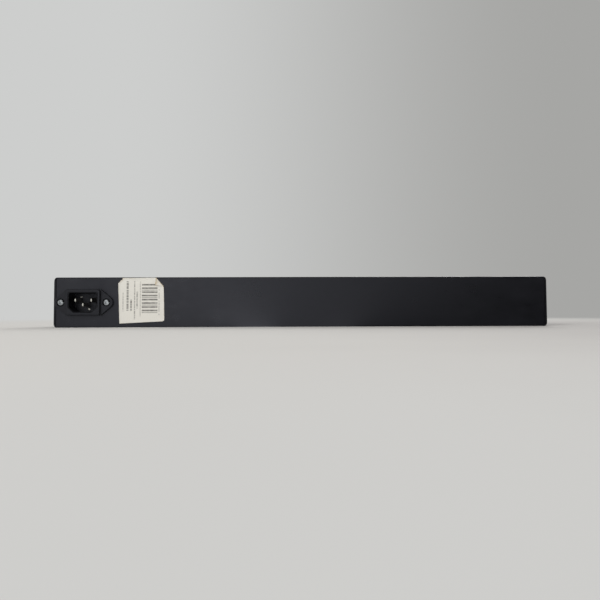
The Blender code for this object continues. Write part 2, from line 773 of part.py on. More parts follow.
def make_rocker():
    """A dished rocker on two trunnions, drawn level about its pivot and turned to its off stop."""
    pivot = bpy.data.objects.new("switch_pivot", None)
    bpy.context.scene.collection.objects.link(pivot)
    pivot.parent = strip
    pivot.location = (SWITCH_X, PIVOT_Y, 0)
    pivot.rotation_euler.x = ROCKER_TILT
    dip = -PIVOT_DEPTH - ROCKER_DIP
    section = [
        (dip - ROCKER_RISE, -ROCKER_HALF),
        (dip, 0.0),
        (dip - ROCKER_RISE, ROCKER_HALF),
        (-ROCKER_SKIRT, ROCKER_HALF),
        (ROCKER_KEEL_DEPTH - PIVOT_DEPTH, ROCKER_KEEL_HALF),
        (ROCKER_KEEL_DEPTH - PIVOT_DEPTH, -ROCKER_KEEL_HALF),
        (-ROCKER_SKIRT, -ROCKER_HALF),
    ]
    half = ROCKER_WIDTH / 2
    rocker = solid(
        "switch_rocker",
        [[across_x(section, x) for x in (-half, half)]],
        RED_ROCKER,
        parent=pivot,
    )
    reach = SWITCH_CASE_WIDTH / 2 - SEAT_GAP
    trunnion = circle(PIVOT_RADIUS)
    pins = solid("rocker_trunnions", [[across_x(trunnion, x) for x in (-reach, reach)]], parent=pivot)
    combine(rocker, pins, "UNION")


# ---------------------------------------------------------------- breaker


def make_breaker():
    case = outline(BREAKER_WIDTH, BREAKER_HEIGHT, FACE_CORNER_RADIUS)
    rings = [across_y(case, y, BREAKER_X) for y in (BREAKER_BACK, BREAKER_FRONT)]
    body = solid("breaker_body", [rings], BLACK_NYLON, math.radians(35))
    neck = turned(
        [
            (NECK_RADIUS, BREAKER_FRONT + WALL),
            (NECK_RADIUS, NECK_FRONT + FACE_ROUND),
            (NECK_RADIUS - FACE_ROUND, NECK_FRONT),
        ],
        BREAKER_X,
    )
    combine(body, solid("breaker_neck", [neck]), "UNION")
    bore_end = NECK_FRONT + BUTTON_GUIDE + BUTTON_TRAVEL
    bore = turned(
        [(BUTTON_RADIUS + SEAT_GAP, NECK_FRONT - WALL), (BUTTON_RADIUS + SEAT_GAP, bore_end)],
        BREAKER_X,
    )
    rows = (BREAKER_TERMINAL_ROW, -BREAKER_TERMINAL_ROW)
    slots = [blade_slot(BREAKER_X, z, BREAKER_BACK - BLADE_ROOT, BREAKER_BACK + WALL) for z in rows]
    combine(body, solid("breaker_cutter", [bore, *slots]))

    for name, z in zip(("breaker_terminal_in", "breaker_terminal_out"), rows):
        root = BREAKER_BACK - BLADE_ROOT
        solid(name, [blade_rings(BREAKER_X, z, root, BREAKER_BACK + BLADE_LENGTH, SEAT_GAP)], BRASS)

    tip = NECK_FRONT - BUTTON_PROUD
    button = turned(
        [
            (BUTTON_RADIUS, NECK_FRONT + BUTTON_GUIDE + BUTTON_TRAVEL - SEAT_GAP - tip),
            (BUTTON_RADIUS, 2 * FACE_ROUND),
            (BUTTON_RADIUS - FACE_ROUND, FACE_ROUND / 2),
            (BUTTON_RADIUS / 2, 0.0),
        ]
    )
    made = solid("reset_button", [button], BLACK_NYLON, math.radians(40))
    made.location = (BREAKER_X, tip, 0)

    ridges = 2 * NUT_RIDGES
    radii = [NUT_RADIUS - RIDGE_DEPTH * (i % 2) for i in range(ridges)]
    angles = [math.tau * i / ridges for i in range(ridges)]
    knurl = [(r * math.cos(a), r * math.sin(a)) for r, a in zip(radii, angles)]
    top = [(x * NUT_TOP_SHARE, z * NUT_TOP_SHARE) for x, z in knurl]
    rings = [
        across_y(knurl, NUT_BACK, BREAKER_X),
        across_y(knurl, NUT_BACK - NUT_THICKNESS * NUT_SIDE_SHARE, BREAKER_X),
        across_y(top, NUT_BACK - NUT_THICKNESS, BREAKER_X),
    ]
    nut = solid("breaker_nut", [rings], BLACK_NYLON)
    hole = NECK_RADIUS + SEAT_GAP
    bore = turned([(hole, NUT_BACK + WALL), (hole, NUT_BACK - 2 * NUT_THICKNESS)], BREAKER_X)
    combine(nut, solid("breaker_nut_bore", [bore]))


# ---------------------------------------------------------------- mains inlet


def ear_outline():
    """The flange: a rectangle whose sides run on as tangents to a round ear at each screw."""
    ear_x = INLET_SCREW_SPACING / 2
    shoulder = (BLOCK_WIDTH / 2, BLOCK_HEIGHT / 2)
    to_shoulder = (shoulder[0] - ear_x, shoulder[1])
    distance = math.hypot(*to_shoulder)
    bearing = math.atan2(to_shoulder[1], to_shoulder[0])
    tangent = bearing - math.acos(EAR_RADIUS / distance)
    right = arc((ear_x, 0.0), EAR_RADIUS, -tangent, tangent, 8)
    left = [(-x, -z) for x, z in right]
    corners = [shoulder, (-shoulder[0], shoulder[1])]
    feet = [(-shoulder[0], -shoulder[1]), (shoulder[0], -shoulder[1])]
    return right + corners + left + feet


def recess_outline(grow=0.0, radius_grow=0.0):
    corner = RECESS_CHAMFER + radius_grow
    return outline(
        RECESS_WIDTH + 2 * grow,
        RECESS_HEIGHT + 2 * grow,
        RECESS_ROUND + radius_grow,
        {2: corner, 3: corner},
    )


def inlet_contacts():
    """Across and up from the middle of the inlet, and how far each tip stays below its mouth."""
    return (
        ("inlet_pin_live", CONTACT_SPREAD, CONTACT_OFFSET, PIN_BELOW_MOUTH),
        ("inlet_pin_neutral", -CONTACT_SPREAD, CONTACT_OFFSET, PIN_BELOW_MOUTH),
        ("inlet_pin_earth", 0.0, -CONTACT_OFFSET, EARTH_PIN_BELOW_MOUTH),
    )


def make_inlet_body():
    flange = ear_outline()
    body = solid(
        "inlet_body",
        [[across_y(flange, EAR_BACK, INLET_X), across_y(flange, EAR_FRONT, INLET_X)]],
        BLACK_NYLON,
        math.radians(35),
    )
    inset = 2 * SEAT_GAP
    block = outline(BLOCK_WIDTH - inset, BLOCK_HEIGHT - inset, RECESS_ROUND)
    crown = outline(
        BLOCK_WIDTH - inset - 2 * FACE_ROUND, BLOCK_HEIGHT - inset - 2 * FACE_ROUND, RECESS_ROUND
    )
    shell = outline(RECESS_WIDTH + 2 * INLET_WALL, RECESS_HEIGHT + 2 * INLET_WALL, RECESS_ROUND)
    block_rings = [
        across_y(block, EAR_FRONT - EAR_THICKNESS / 3, INLET_X),
        across_y(block, BLOCK_FRONT - FACE_ROUND, INLET_X),
        across_y(crown, BLOCK_FRONT, INLET_X),
    ]
    combine(body, solid("inlet_block", [block_rings]), "UNION")
    shell_rings = [across_y(shell, y, INLET_X) for y in (INLET_BACK, EAR_BACK + EAR_THICKNESS / 3)]
    combine(body, solid("inlet_shell", [shell_rings]), "UNION")

    recess = [
        across_y(recess_outline(2 * INLET_LEAD_IN, INLET_LEAD_IN), BLOCK_FRONT + INLET_LEAD_IN, INLET_X),
        across_y(recess_outline(), BLOCK_FRONT - INLET_LEAD_IN, INLET_X),
        across_y(recess_outline(), RECESS_FLOOR, INLET_X),
    ]
    cuts = [recess]
    slot = rectangle(PIN_THICKNESS + 2 * SEAT_GAP, PIN_WIDTH + 2 * SEAT_GAP)
    floor = (INLET_BACK - WALL, RECESS_FLOOR + WALL)
    for _, x, z, _ in inlet_contacts():
        cuts.append([across_y(slot, y, INLET_X + x, z) for y in floor])
    combine(body, solid("inlet_recess_cutter", cuts[:1]))
    combine(body, solid("inlet_slot_cutter", cuts[1:]))

    holes = []
    for side in (-1, 1):
        x = INLET_X + side * INLET_SCREW_SPACING / 2
        holes.append(
            turned(
                [
                    (INLET_SCREW_RADIUS + SEAT_GAP, EAR_BACK - WALL),
                    (INLET_SCREW_RADIUS + SEAT_GAP, EAR_FRONT - INLET_HEAD_HEIGHT),
                    (INLET_HEAD_RADIUS + SEAT_GAP, EAR_FRONT - SEAT_GAP),
                    (INLET_HEAD_RADIUS + SEAT_GAP, EAR_FRONT + WALL),
                ],
                x,
            )
        )
    combine(body, solid("inlet_countersinks", holes))


def make_inlet_pin(name, x, z, below):
    """A flat pin with a drawn-in tip, staked through the floor into a quick-connect blade."""
    tip_y = BLOCK_FRONT - below
    full = rectangle(PIN_THICKNESS, PIN_WIDTH)
    tip = rectangle(PIN_THICKNESS * PIN_TIP_SHARE, PIN_WIDTH * PIN_TIP_SHARE)
    blade = rectangle(BLADE_THICKNESS, BLADE_WIDTH)
    blade_tip = rectangle(BLADE_THICKNESS * BLADE_TIP_THICKNESS, BLADE_WIDTH * BLADE_TIP_WIDTH)
    shoulder = INLET_BACK - SEAT_GAP
    pin_rings = [
        across_y(tip, tip_y, INLET_X + x, z),
        across_y(full, tip_y - PIN_TAPER, INLET_X + x, z),
        across_y(full, shoulder - 2 * BLADE_THICKNESS, INLET_X + x, z),
    ]
    blade_rings_back = [
        across_y(blade, shoulder, INLET_X + x, z),
        across_y(blade, INLET_BLADE_END + BLADE_THICKNESS, INLET_X + x, z),
        across_y(blade_tip, INLET_BLADE_END, INLET_X + x, z),
    ]
    pin = solid(name, [pin_rings], NICKEL)
    combine(pin, solid(name + "_blade", [blade_rings_back]), "UNION")


def make_inlet_screw(name, side):
    """A raised countersunk screw in the ear, and the nut behind the channel's back wall."""
    x = INLET_X + side * INLET_SCREW_SPACING / 2
    profile = (
        *((INLET_HEAD_RADIUS * r, EAR_FRONT + INLET_HEAD_DOME * rise) for r, rise in DOME_STEPS),
        (INLET_HEAD_RADIUS, EAR_FRONT),
        (INLET_HEAD_RADIUS, EAR_FRONT - SEAT_GAP),
        (INLET_SCREW_RADIUS, EAR_FRONT - INLET_HEAD_HEIGHT - SEAT_GAP),
        (INLET_SCREW_RADIUS, EAR_FRONT - INLET_SCREW_LENGTH),
    )
    solid(name, [turned(profile, x)], ZINC, math.radians(40))


def make_nut(name, centre, flats, height, bore, axis_z=False):
    """A hexagon nut round a plain bore, from the centre given towards -Y, or up where axis_z is set."""
    x, y, z = centre
    hexagon = circle(flats / 2 / math.cos(math.pi / 6), 6)
    hole = circle(bore, 12)
    if axis_z:
        rings = [across_z(hexagon, z + step, x, y) for step in (0.0, height)]
        bore_rings = [across_z(hole, z + step, x, y) for step in (-height, 2 * height)]
    else:
        rings = [across_y(hexagon, y - step, x, z) for step in (0.0, height)]
        bore_rings = [across_y(hole, y - step, x, z) for step in (-height, 2 * height)]
    nut = solid(name, [rings], ZINC)
    combine(nut, solid(name + "_bore", [bore_rings]))


# ---------------------------------------------------------------- label


def make_label():
    """A paper label with one torn corner and one folded over on to itself."""
    half_w, half_h = LABEL_WIDTH / 2, LABEL_HEIGHT / 2
    fold_top = (-half_w + LABEL_FOLD_ACROSS, half_h)
    fold_side = (-half_w, half_h - LABEL_FOLD_DOWN)
    sheet = [
        (half_w, -half_h),
        (half_w, half_h - LABEL_TORN_CORNER),
        (half_w - LABEL_TORN_CORNER, half_h),
        fold_top,
        fold_side,
        (-half_w, -half_h + SEAT_GAP),
        (-half_w + SEAT_GAP, -half_h),
    ]
    under = HALF_DEPTH + PAPER_GAP
    label = solid(
        "rear_label",
        [[across_y(sheet, under), across_y(sheet, under + LABEL_THICKNESS)]],
        PAPER,
    )
    crease = Vector(fold_side) - Vector(fold_top)
    normal = Vector((-crease.y, crease.x)).normalized()
    corner = Vector((-half_w, half_h))
    reach = (corner - Vector(fold_top)).dot(normal)
    tip = corner - (1 + LABEL_FLAP) * reach * normal
    flap = [fold_top, fold_side, tuple(tip)]
    inner = [tuple(Vector(p).lerp(tip, LABEL_FLAP_INSET)) for p in flap[:2]] + [tuple(tip)]
    top = under + 2 * LABEL_THICKNESS
    flap_rings = [across_y(inner, under + LABEL_THICKNESS / 2), across_y(inner, top)]
    combine(label, solid("label_flap", [flap_rings]), "UNION")
    frame = bpy.data.objects.new("label_place", None)
    bpy.context.scene.collection.objects.link(frame)
    frame.parent = strip
    frame.location = (LABEL_X, 0, LABEL_RISE)
    frame.rotation_euler.y = LABEL_TURN
    label.parent = frame
    bpy.data.objects["label_flap"].parent = frame


# ---------------------------------------------------------------- wires and earth


def smooth_route(points):
    """A Catmull-Rom curve through the points, read every WIRE_STEP or so."""
    knots = [Vector(p) for p in points]
    knots = [2 * knots[0] - knots[1], *knots, 2 * knots[-1] - knots[-2]]
    route = []
    for before, start, end, after in zip(knots, knots[1:], knots[2:], knots[3:]):
        steps = max(1, round((end - start).length / WIRE_STEP))
        for i in range(steps):
            t = i / steps
            route.append(
                0.5
                * (
                    2 * start
                    + t * (end - before)
                    + t * t * (2 * before - 5 * start + 4 * end - after)
                    + t * t * t * (3 * start - before - 3 * end + after)
                )
            )
    return route + [knots[-2]]


def make_wire(name, points, finish):
    curve = bpy.data.curves.new(name, "CURVE")
    curve.dimensions = "3D"
    curve.bevel_depth = WIRE_RADIUS
    curve.bevel_resolution = 1
    curve.use_fill_caps = True
    route = smooth_route(points)
    line = curve.splines.new("POLY")
    line.points.add(len(route) - 1)
    for point, place_at in zip(line.points, route):
        point.co = (*place_at, 1.0)
    place(bpy.data.objects.new(name, curve), finish)


def make_wires():
    """Each wire runs from a blade's end to the next piece's, behind the modules."""
    end = SEAT_GAP
    inlet_y = INLET_BLADE_END - end
    breaker_y = BREAKER_BACK + BLADE_LENGTH + end
    switch_y = CASE_BACK + BLADE_LENGTH + end
    bar_y = BAR_BACK + BAR_TAB_LENGTH + end
    bar_x = BAR_END - BAR_THICKNESS
    high, low = BREAKER_TERMINAL_ROW, -BREAKER_TERMINAL_ROW
    pass_x = (BREAKER_X + BREAKER_WIDTH / 2 + INLET_X - RECESS_WIDTH / 2) / 2
    live_x, neutral_x = SWITCH_X + TERMINAL_COLUMN, SWITCH_X - TERMINAL_COLUMN
    bow = 3 * WIRE_RADIUS

    def leave(x, y, z, way):
        """The end of a wire and a point that sets its direction along Y."""
        return [(x, y, z), (x, y + way * bow, z)]

    make_wire(
        "wire_live_inlet",
        leave(INLET_X + CONTACT_SPREAD, inlet_y, CONTACT_OFFSET, -1)
        + [
            (INLET_X + CONTACT_SPREAD - 0.004, inlet_y - 0.008, 0.006),
            (INLET_X - 0.004, inlet_y - 0.0085, 0.012),
            (pass_x + 0.002, inlet_y - 0.004, 0.014),
            (pass_x - 0.001, 0.004, 0.0135),
            (pass_x - 0.005, breaker_y + 0.003, 0.011),
        ]
        + leave(BREAKER_X, breaker_y, high, 1)[::-1],
        BROWN_WIRE,
    )
    make_wire(
        "wire_live_breaker",
        leave(BREAKER_X, breaker_y, low, 1)
        + [
            (BREAKER_X - 0.006, breaker_y + 0.0065, low + 0.001),
            (BREAKER_X - 0.016, breaker_y + 0.006, -0.004),
            (live_x + 0.011, breaker_y + 0.004, 0.001),
            (live_x + 0.003, switch_y + 0.0065, TERMINAL_ROW - 0.001),
        ]
        + leave(live_x, switch_y, TERMINAL_ROW, 1)[::-1],
        BROWN_WIRE,
    )
    make_wire(
        "wire_live_switch",
        leave(live_x, switch_y, -TERMINAL_ROW, 1)
        + [
            (live_x - 0.004, switch_y + 0.0075, -TERMINAL_ROW + 0.0025),
            (neutral_x - 0.004, switch_y + 0.0075, 0.0),
            (bar_x + 0.004, bar_y + 0.0075, CONTACT_SPREAD - 0.002),
        ]
        + leave(bar_x, bar_y, CONTACT_SPREAD, 1)[::-1],
        BROWN_WIRE,
    )
    make_wire(
        "wire_neutral_inlet",
        leave(INLET_X - CONTACT_SPREAD, inlet_y, CONTACT_OFFSET, -1)
        + [
            (INLET_X - CONTACT_SPREAD - 0.004, inlet_y - 0.0065, 0.002),
            (pass_x + 0.0015, inlet_y - 0.002, 0.002),
            (pass_x, 0.004, 0.002),
            (pass_x - 0.003, 0.0135, 0.003),
            (BREAKER_X, breaker_y + 0.003, 0.0025),
            (BREAKER_X - 0.014, breaker_y + 0.002, 0.008),
            (live_x + 0.008, switch_y + 0.0085, 0.012),
            (neutral_x + 0.004, switch_y + 0.0065, 0.0105),
        ]
        + leave(neutral_x, switch_y, TERMINAL_ROW, 1)[::-1],
        BLUE_WIRE,
    )
    make_wire(
        "wire_neutral_switch",
        leave(neutral_x, switch_y, -TERMINAL_ROW, 1)
        + [
            (neutral_x - 0.003, switch_y + 0.0065, -TERMINAL_ROW - 0.001),
            (bar_x + 0.004, bar_y + 0.0065, -CONTACT_SPREAD - 0.0005),
        ]
        + leave(bar_x, bar_y, -CONTACT_SPREAD, 1)[::-1],
        BLUE_WIRE,
    )
    make_wire(
        "wire_earth_inlet",
        leave(INLET_X, inlet_y, -CONTACT_OFFSET, -1)
        + [
            (INLET_X + 0.001, inlet_y - 0.0065, -0.0062),
            (INLET_X + 0.0015, inlet_y - 0.0030, -0.0115),
            (INLET_X + 0.0015, 0.0040, -0.0126),
            (INLET_X + 0.0010, 0.0110, -0.0140),
            (INLET_X - 0.0030, STUD_Y, LOWER_LUG + 0.0022),
            (STUD_X + BARREL_END + end + bow, STUD_Y, LOWER_LUG + BARREL_ABOVE_LUG),
            (STUD_X + BARREL_END + end, STUD_Y, LOWER_LUG + BARREL_ABOVE_LUG),
        ],
        GREEN_WIRE,
    )
    make_wire(
        "wire_earth_bar",
        [
            (STUD_X - BARREL_END - end, STUD_Y, UPPER_LUG + BARREL_ABOVE_LUG),
            (STUD_X - BARREL_END - end - bow, STUD_Y, UPPER_LUG + BARREL_ABOVE_LUG),
            (BREAKER_X - 0.004, 0.0160, -0.0145),
            (BREAKER_X - 0.020, 0.0168, -0.0130),
            (SWITCH_X + 0.006, 0.0168, -0.0125),
            (SWITCH_X - 0.008, 0.0170, -0.0100),
            (bar_x + 0.005, 0.0160, -0.0020),
        ]
        + leave(bar_x, bar_y, 0.0, 1)[::-1],
        GREEN_WIRE,
    )


def make_earth_stud():
    """A stud welded to the channel's floor, with two ring lugs and a nut: it earths the housing."""
    profile = (
        (STUD_RADIUS, STUD_FOOT),
        (STUD_RADIUS, STUD_FOOT + STUD_LENGTH - FACE_ROUND),
        (STUD_RADIUS - FACE_ROUND, STUD_FOOT + STUD_LENGTH),
    )
    rings = [across_z(circle(r, 12), z, STUD_X, STUD_Y) for r, z in profile]
    solid("earth_stud", [rings], ZINC, math.radians(40))
    nut_foot = UPPER_LUG + LUG_THICKNESS + SEAT_GAP
    make_nut(
        "earth_nut",
        (STUD_X, STUD_Y, nut_foot),
        STUD_NUT_FLATS,
        STUD_NUT_HEIGHT,
        STUD_RADIUS + SEAT_GAP,
        axis_z=True,
    )
    make_lug("earth_lug_inlet", 1, LOWER_LUG)
    make_lug("earth_lug_bar", -1, UPPER_LUG)


def make_lug(name, way, level):
    """A flat ring on the stud, with a neck that runs into the crimped barrel of its wire."""
    neck = LUG_NECK_WIDTH / 2
    start = math.asin(neck / LUG_RADIUS)
    ring = arc((0.0, 0.0), LUG_RADIUS, start, math.tau - start, 12)
    reach = LUG_REACH + BARREL_LENGTH / 4
    flat = [(way * x, y) for x, y in [*ring, (reach, -neck), (reach, neck)]]
    stations = (level, level + LUG_THICKNESS)
    lug = solid(name, [[across_z(flat, z, STUD_X, STUD_Y) for z in stations]], NICKEL)
    barrel = [
        across_x(circle(BARREL_RADIUS, 12), STUD_X + way * x, STUD_Y, level + BARREL_ABOVE_LUG)
        for x in (LUG_REACH, BARREL_END)
    ]
    combine(lug, solid(name + "_barrel", [barrel]), "UNION")
    hole = circle(STUD_RADIUS + SEAT_GAP, 12)
    stations = (level - LUG_THICKNESS, level + 4 * LUG_THICKNESS)
    combine(lug, solid(name + "_hole", [[across_z(hole, z, STUD_X, STUD_Y) for z in stations]]))


# ---------------------------------------------------------------- build

make_channel()
for cap_name, cap_side in (("end_cap_left", -1), ("end_cap_right", 1)):
    make_cap(cap_name, cap_side)
    make_cap_screw(cap_name + "_screw_low", cap_side, -PORT_CENTRE)
    make_cap_screw(cap_name + "_screw_high", cap_side, PORT_CENTRE)
make_outlets()
make_bar("bus_bar_live", -CONTACT_OFFSET, CONTACT_SPREAD)
make_bar("bus_bar_neutral", -CONTACT_OFFSET, -CONTACT_SPREAD)
make_bar("bus_bar_earth", CONTACT_OFFSET, 0.0)
make_blank_plate()
make_control_plate()
make_switch_body()
make_rocker()
make_breaker()
make_inlet_body()
for pin in inlet_contacts():
    make_inlet_pin(*pin)
for screw_name, screw_side in (("left", 1), ("right", -1)):
    make_inlet_screw("inlet_screw_" + screw_name, screw_side)
    make_nut(
        "inlet_nut_" + screw_name,
        (INLET_X + screw_side * INLET_SCREW_SPACING / 2, NUT_SEAT, 0.0),
        NUT_FLATS,
        NUT_HEIGHT,
        INLET_SCREW_RADIUS + SEAT_GAP,
    )
make_earth_stud()
make_label()
make_wires()
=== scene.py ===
"""Finished looks of a rack power strip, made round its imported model.

Each operator makes or dresses one group of pieces. Lengths are in metres. X runs along the strip
towards the end with the mains inlet, -Y is the front with the outlets, +Y the back with the inlet.
Sizes that are given from the strip's middle are put in place by MIDDLE.
"""

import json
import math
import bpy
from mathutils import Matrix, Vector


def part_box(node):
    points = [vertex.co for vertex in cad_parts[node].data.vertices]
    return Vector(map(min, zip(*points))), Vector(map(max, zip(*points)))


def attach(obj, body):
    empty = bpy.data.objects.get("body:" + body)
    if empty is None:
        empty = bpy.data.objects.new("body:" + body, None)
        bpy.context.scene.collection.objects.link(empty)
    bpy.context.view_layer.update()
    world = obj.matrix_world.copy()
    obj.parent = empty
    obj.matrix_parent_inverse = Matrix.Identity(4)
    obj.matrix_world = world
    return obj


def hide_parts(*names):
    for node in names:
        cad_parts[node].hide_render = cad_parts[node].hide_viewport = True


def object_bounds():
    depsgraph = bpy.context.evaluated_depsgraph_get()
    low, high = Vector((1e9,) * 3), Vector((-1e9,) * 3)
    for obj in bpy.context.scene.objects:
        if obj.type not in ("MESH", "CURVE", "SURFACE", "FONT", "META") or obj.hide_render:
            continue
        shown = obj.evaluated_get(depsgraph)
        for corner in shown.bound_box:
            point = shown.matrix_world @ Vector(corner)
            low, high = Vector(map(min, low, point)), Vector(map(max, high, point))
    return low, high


bl_info = {
    "name": "Rack power strip",
    "version": (1, 0, 0),
    "blender": (4, 5, 0),
    "location": "View3D > Sidebar > Power strip",
    "description": "Makes the finished pieces and materials of a rack power strip",
    "category": "Add Mesh",
}

from functools import cache

import bmesh
import bpy
from mathutils import Matrix, Vector, noise

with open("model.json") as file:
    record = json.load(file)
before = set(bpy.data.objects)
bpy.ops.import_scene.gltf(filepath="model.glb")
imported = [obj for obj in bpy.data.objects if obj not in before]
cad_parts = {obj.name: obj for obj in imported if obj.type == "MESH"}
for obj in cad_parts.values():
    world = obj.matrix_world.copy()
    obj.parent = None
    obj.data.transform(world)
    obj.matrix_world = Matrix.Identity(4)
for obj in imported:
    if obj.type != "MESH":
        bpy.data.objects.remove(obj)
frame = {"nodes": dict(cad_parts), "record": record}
NODES = frame["nodes"]
CAD_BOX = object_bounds()
LOWEST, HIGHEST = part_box("housing_channel")
MIDDLE = (LOWEST + HIGHEST) / 2
MM = 0.001
SIDES = (("left", -1), ("right", 1))
# The place of a mesh that is built where it stays, or as a pattern.
AS_BUILT = Matrix.Identity(4)

# ---------------- colours


def linear(code):
    """Linear RGBA of an sRGB hex colour."""
    parts = [int(code[i : i + 2], 16) / 255 for i in (1, 3, 5)]
    return (*(c / 12.92 if c <= 0.04045 else ((c + 0.055) / 1.055) ** 2.4 for c in parts), 1.0)


def colour(label, code, text):
    return bpy.props.FloatVectorProperty(
        name=label, description=text, subtype="COLOR", size=4, min=0, max=1, default=linear(code)
    )


def number(label, default, text, **more):
    return bpy.props.FloatProperty(name=label, description=text, default=default, **more)


def length(label, default, text):
    return number(label, default, text, min=0, precision=4, unit="LENGTH")


def whole(label, default, text, lowest=0):
    return bpy.props.IntProperty(name=label, description=text, default=default, min=lowest)


class StripColours(bpy.types.PropertyGroup):
    """Colours of the strip's finishes."""

    coat: colour("Coat", "#0b0b0e", "Black powder coat of the channel")
    haze: colour("Haze", "#141418", "Handling haze and dust on the coat")
    nylon: colour("Nylon", "#0c0c0e", "Black moulded nylon of the outlets and the inlet")
    abs: colour("ABS", "#0a0a0c", "Black moulded ABS of the end caps")
    rocker: colour("Rocker", "#a5120f", "Red polycarbonate of the rocker")
    marking: colour("Marking", "#e4e2dc", "Filled marks on the rocker")
    brass: colour("Brass", "#cfae68", "Stamped brass of the bars and blades")
    nickel: colour("Nickel", "#cfccc4", "Nickel plate of the inlet's pins and the lugs")
    zinc: colour("Zinc", "#c6cacd", "Bright zinc plate of the screws and nuts")
    paper: colour("Paper", "#dddbd4", "Uncoated paper of the label")
    # This brown also serves as painted shade, laid in the label's crease and along its flap's
    # lifted edge.
    age_and_crease_shade: colour("Age", "#a8926a", "Brown stain at the label's crease and edges")
    ink: colour("Ink", "#454341", "Faded ink of the label's rules")
    brown: colour("Brown", "#5a3420", "Insulation of the live wires")
    blue: colour("Blue", "#1d4c92", "Insulation of the neutral wires")
    green: colour("Green", "#3f7d2c", "Insulation of the earth wires")
    yellow: colour("Yellow", "#d9c12f", "Stripe of the earth wires")
    floor: colour("Floor", "#cac8c4", "Pale floor")
    # The far side colour is painted shade: the floor is coloured darker towards -X on the camera's
    # side.
    floor_painted_shade: colour("Floor far side", "#b4b1ae", "Pale floor on the side away from the lamps")
    backdrop: colour("Backdrop", "#cdcecd", "Pale background on the lit side")
    # The far side colour is painted shade: the background is coloured darker towards -X.
    backdrop_painted_shade: colour("Backdrop far side", "#a6a6a4", "Pale background on the other side")


class CapSizes(bpy.types.PropertyGroup):
    """Sizes of the moulded end caps and their screws."""

    thickness: length("Thickness", 0.0022, "How far a cap stands off the channel's end")
    corner: length("Corner radius", 0.0034, "Radius of the cap's four corners")
    edge: length("Edge radius", 0.0016, "Roll of the cap's outer edge")
    tongue: length("Tongue length", 0.0070, "How far the tongues reach into the channel")
    screw_y: length("Screw station", 0.0060, "How far behind the middle the screws are")
    screw_z: length("Screw rise", 0.0178, "Height of the screws over the middle")
    head: length("Head radius", 0.0028, "Radius of a cap screw's head")


class InletSizes(bpy.types.PropertyGroup):
    """Sizes of the mains inlet, from the strip's middle."""

    station: length("Station", 0.1928, "The inlet's middle along the strip")
    screw_spacing: length("Screw spacing", 0.0400, "Distance between the two fixing screws")
    ear: length("Ear radius", 0.0056, "Radius of the ears round the screws")
    flange: length("Flange", 0.0024, "Thickness of the flange")
    block_width: length("Block width", 0.0304, "Width of the raised block")
    block_height: length("Block height", 0.0228, "Height of the raised block")
    block_rise: length("Block rise", 0.0028, "How far the block stands off the flange")
    recess_width: length("Recess width", 0.0247, "Width of the recess")
    recess_height: length("Recess height", 0.0165, "Height of the recess")
    recess_cut: length("Recess cut", 0.0047, "Size of the two cut corners")
    recess_depth: length("Recess depth", 0.0177, "Depth of the recess")
    lead_in: length("Lead in", 0.0009, "Chamfer round the recess's mouth")
    pin_spread: length("Pin spread", 0.0070, "Half the distance between live and neutral")
    pin_offset: length("Pin offset", 0.0020, "Height of the pins over or under the middle")
    head: length("Head radius", 0.0025, "Radius of a fixing screw's head")


class LabelSizes(bpy.types.PropertyGroup):
    """Sizes of the paper label on the back."""

    paper: length("Paper", 0.00016, "Thickness of the paper")
    lift: length("Lift", 0.00035, "How far the paper's edges curl off the coat")
    grain: length("Mesh", 0.0007, "Spacing of the paper's mesh")
    seed: whole("Seed", 4, "Pattern of the paper's waves")


class OutletSizes(bpy.types.PropertyGroup):
    """Sizes of the outlet row."""

    count: whole("Count", 8, "Outlets in the row", 1)
    pitch: length("Pitch", 0.0375, "Distance from outlet to outlet")
    edge: length("Edge", 0.00035, "Roll of the mouldings' edges")


class ControlSizes(bpy.types.PropertyGroup):
    """Sizes of the rocker switch and the reset breaker."""

    switch: length("Switch station", 0.1078, "The switch's middle along the strip")
    breaker: length("Breaker station", 0.1428, "The breaker's middle along the strip")
    rocker_width: length("Rocker width", 0.0188, "Width of the rocker")
    rocker_half: length("Rocker half", 0.0121, "Half of the rocker's height")
    rocker_edge: length("Rocker edge", 0.0005, "Roll of the rocker's edges")
    nut: length("Nut radius", 0.0076, "Radius of the breaker's nut")
    ridges: whole("Ridges", 18, "Grip ridges round the nut", 3)
    neck: length("Neck radius", 0.00475, "Radius of the breaker's threaded neck")
    pitch: length("Thread pitch", 0.0006, "Pitch of the neck's thread")
    button: length("Button radius", 0.0032, "Radius of the reset button")


class StageSettings(bpy.types.PropertyGroup):
    """The camera, the floor and the lights."""

    camera: bpy.props.FloatVectorProperty(
        name="Camera", description="The camera's place from the strip's middle",
        default=(0.012265, 0.600237, -0.0072), subtype="TRANSLATION",
    )
    pitch: number("Pitch", 0.053704, "The camera's upward tilt", subtype="ANGLE")
    yaw: number("Yaw", -0.018239, "The camera's turn", subtype="ANGLE")
    roll: number("Roll", 0.003264, "The camera's roll", subtype="ANGLE")
    lens: number("Lens", 38.92, "Focal length in millimetres", subtype="DISTANCE_CAMERA")
    shift: number("Shift", -0.041667, "Vertical shift of the lens", precision=4)
    dome: number("Dome", 0.57, "Strength of the even light from all round", min=0)
    key: number("Key", 46, "Power of the large soft lamp behind the camera", subtype="POWER")
    fill: number("Fill", 26, "Power of the soft lamp on the front side", subtype="POWER")


# ---------------- mesh tools


def link(name, data):
    made = bpy.data.objects.new(name, data)
    bpy.context.scene.collection.objects.link(made)
    return made


def settle(obj):
    """Turn an object's modifiers into a plain mesh."""
    bpy.context.view_layer.update()
    seen = obj.evaluated_get(bpy.context.evaluated_depsgraph_get())
    mesh = bpy.data.meshes.new_from_object(seen)
    obj.modifiers.clear()
    obj.data = mesh
    return obj


def smooth(obj, degrees=32):
    obj.data.shade_smooth()
    obj.data.set_sharp_from_angle(angle=math.radians(degrees))
    return obj


def paint(obj, finish):
    obj.data.materials.clear()
    obj.data.materials.append(finish)
    return obj


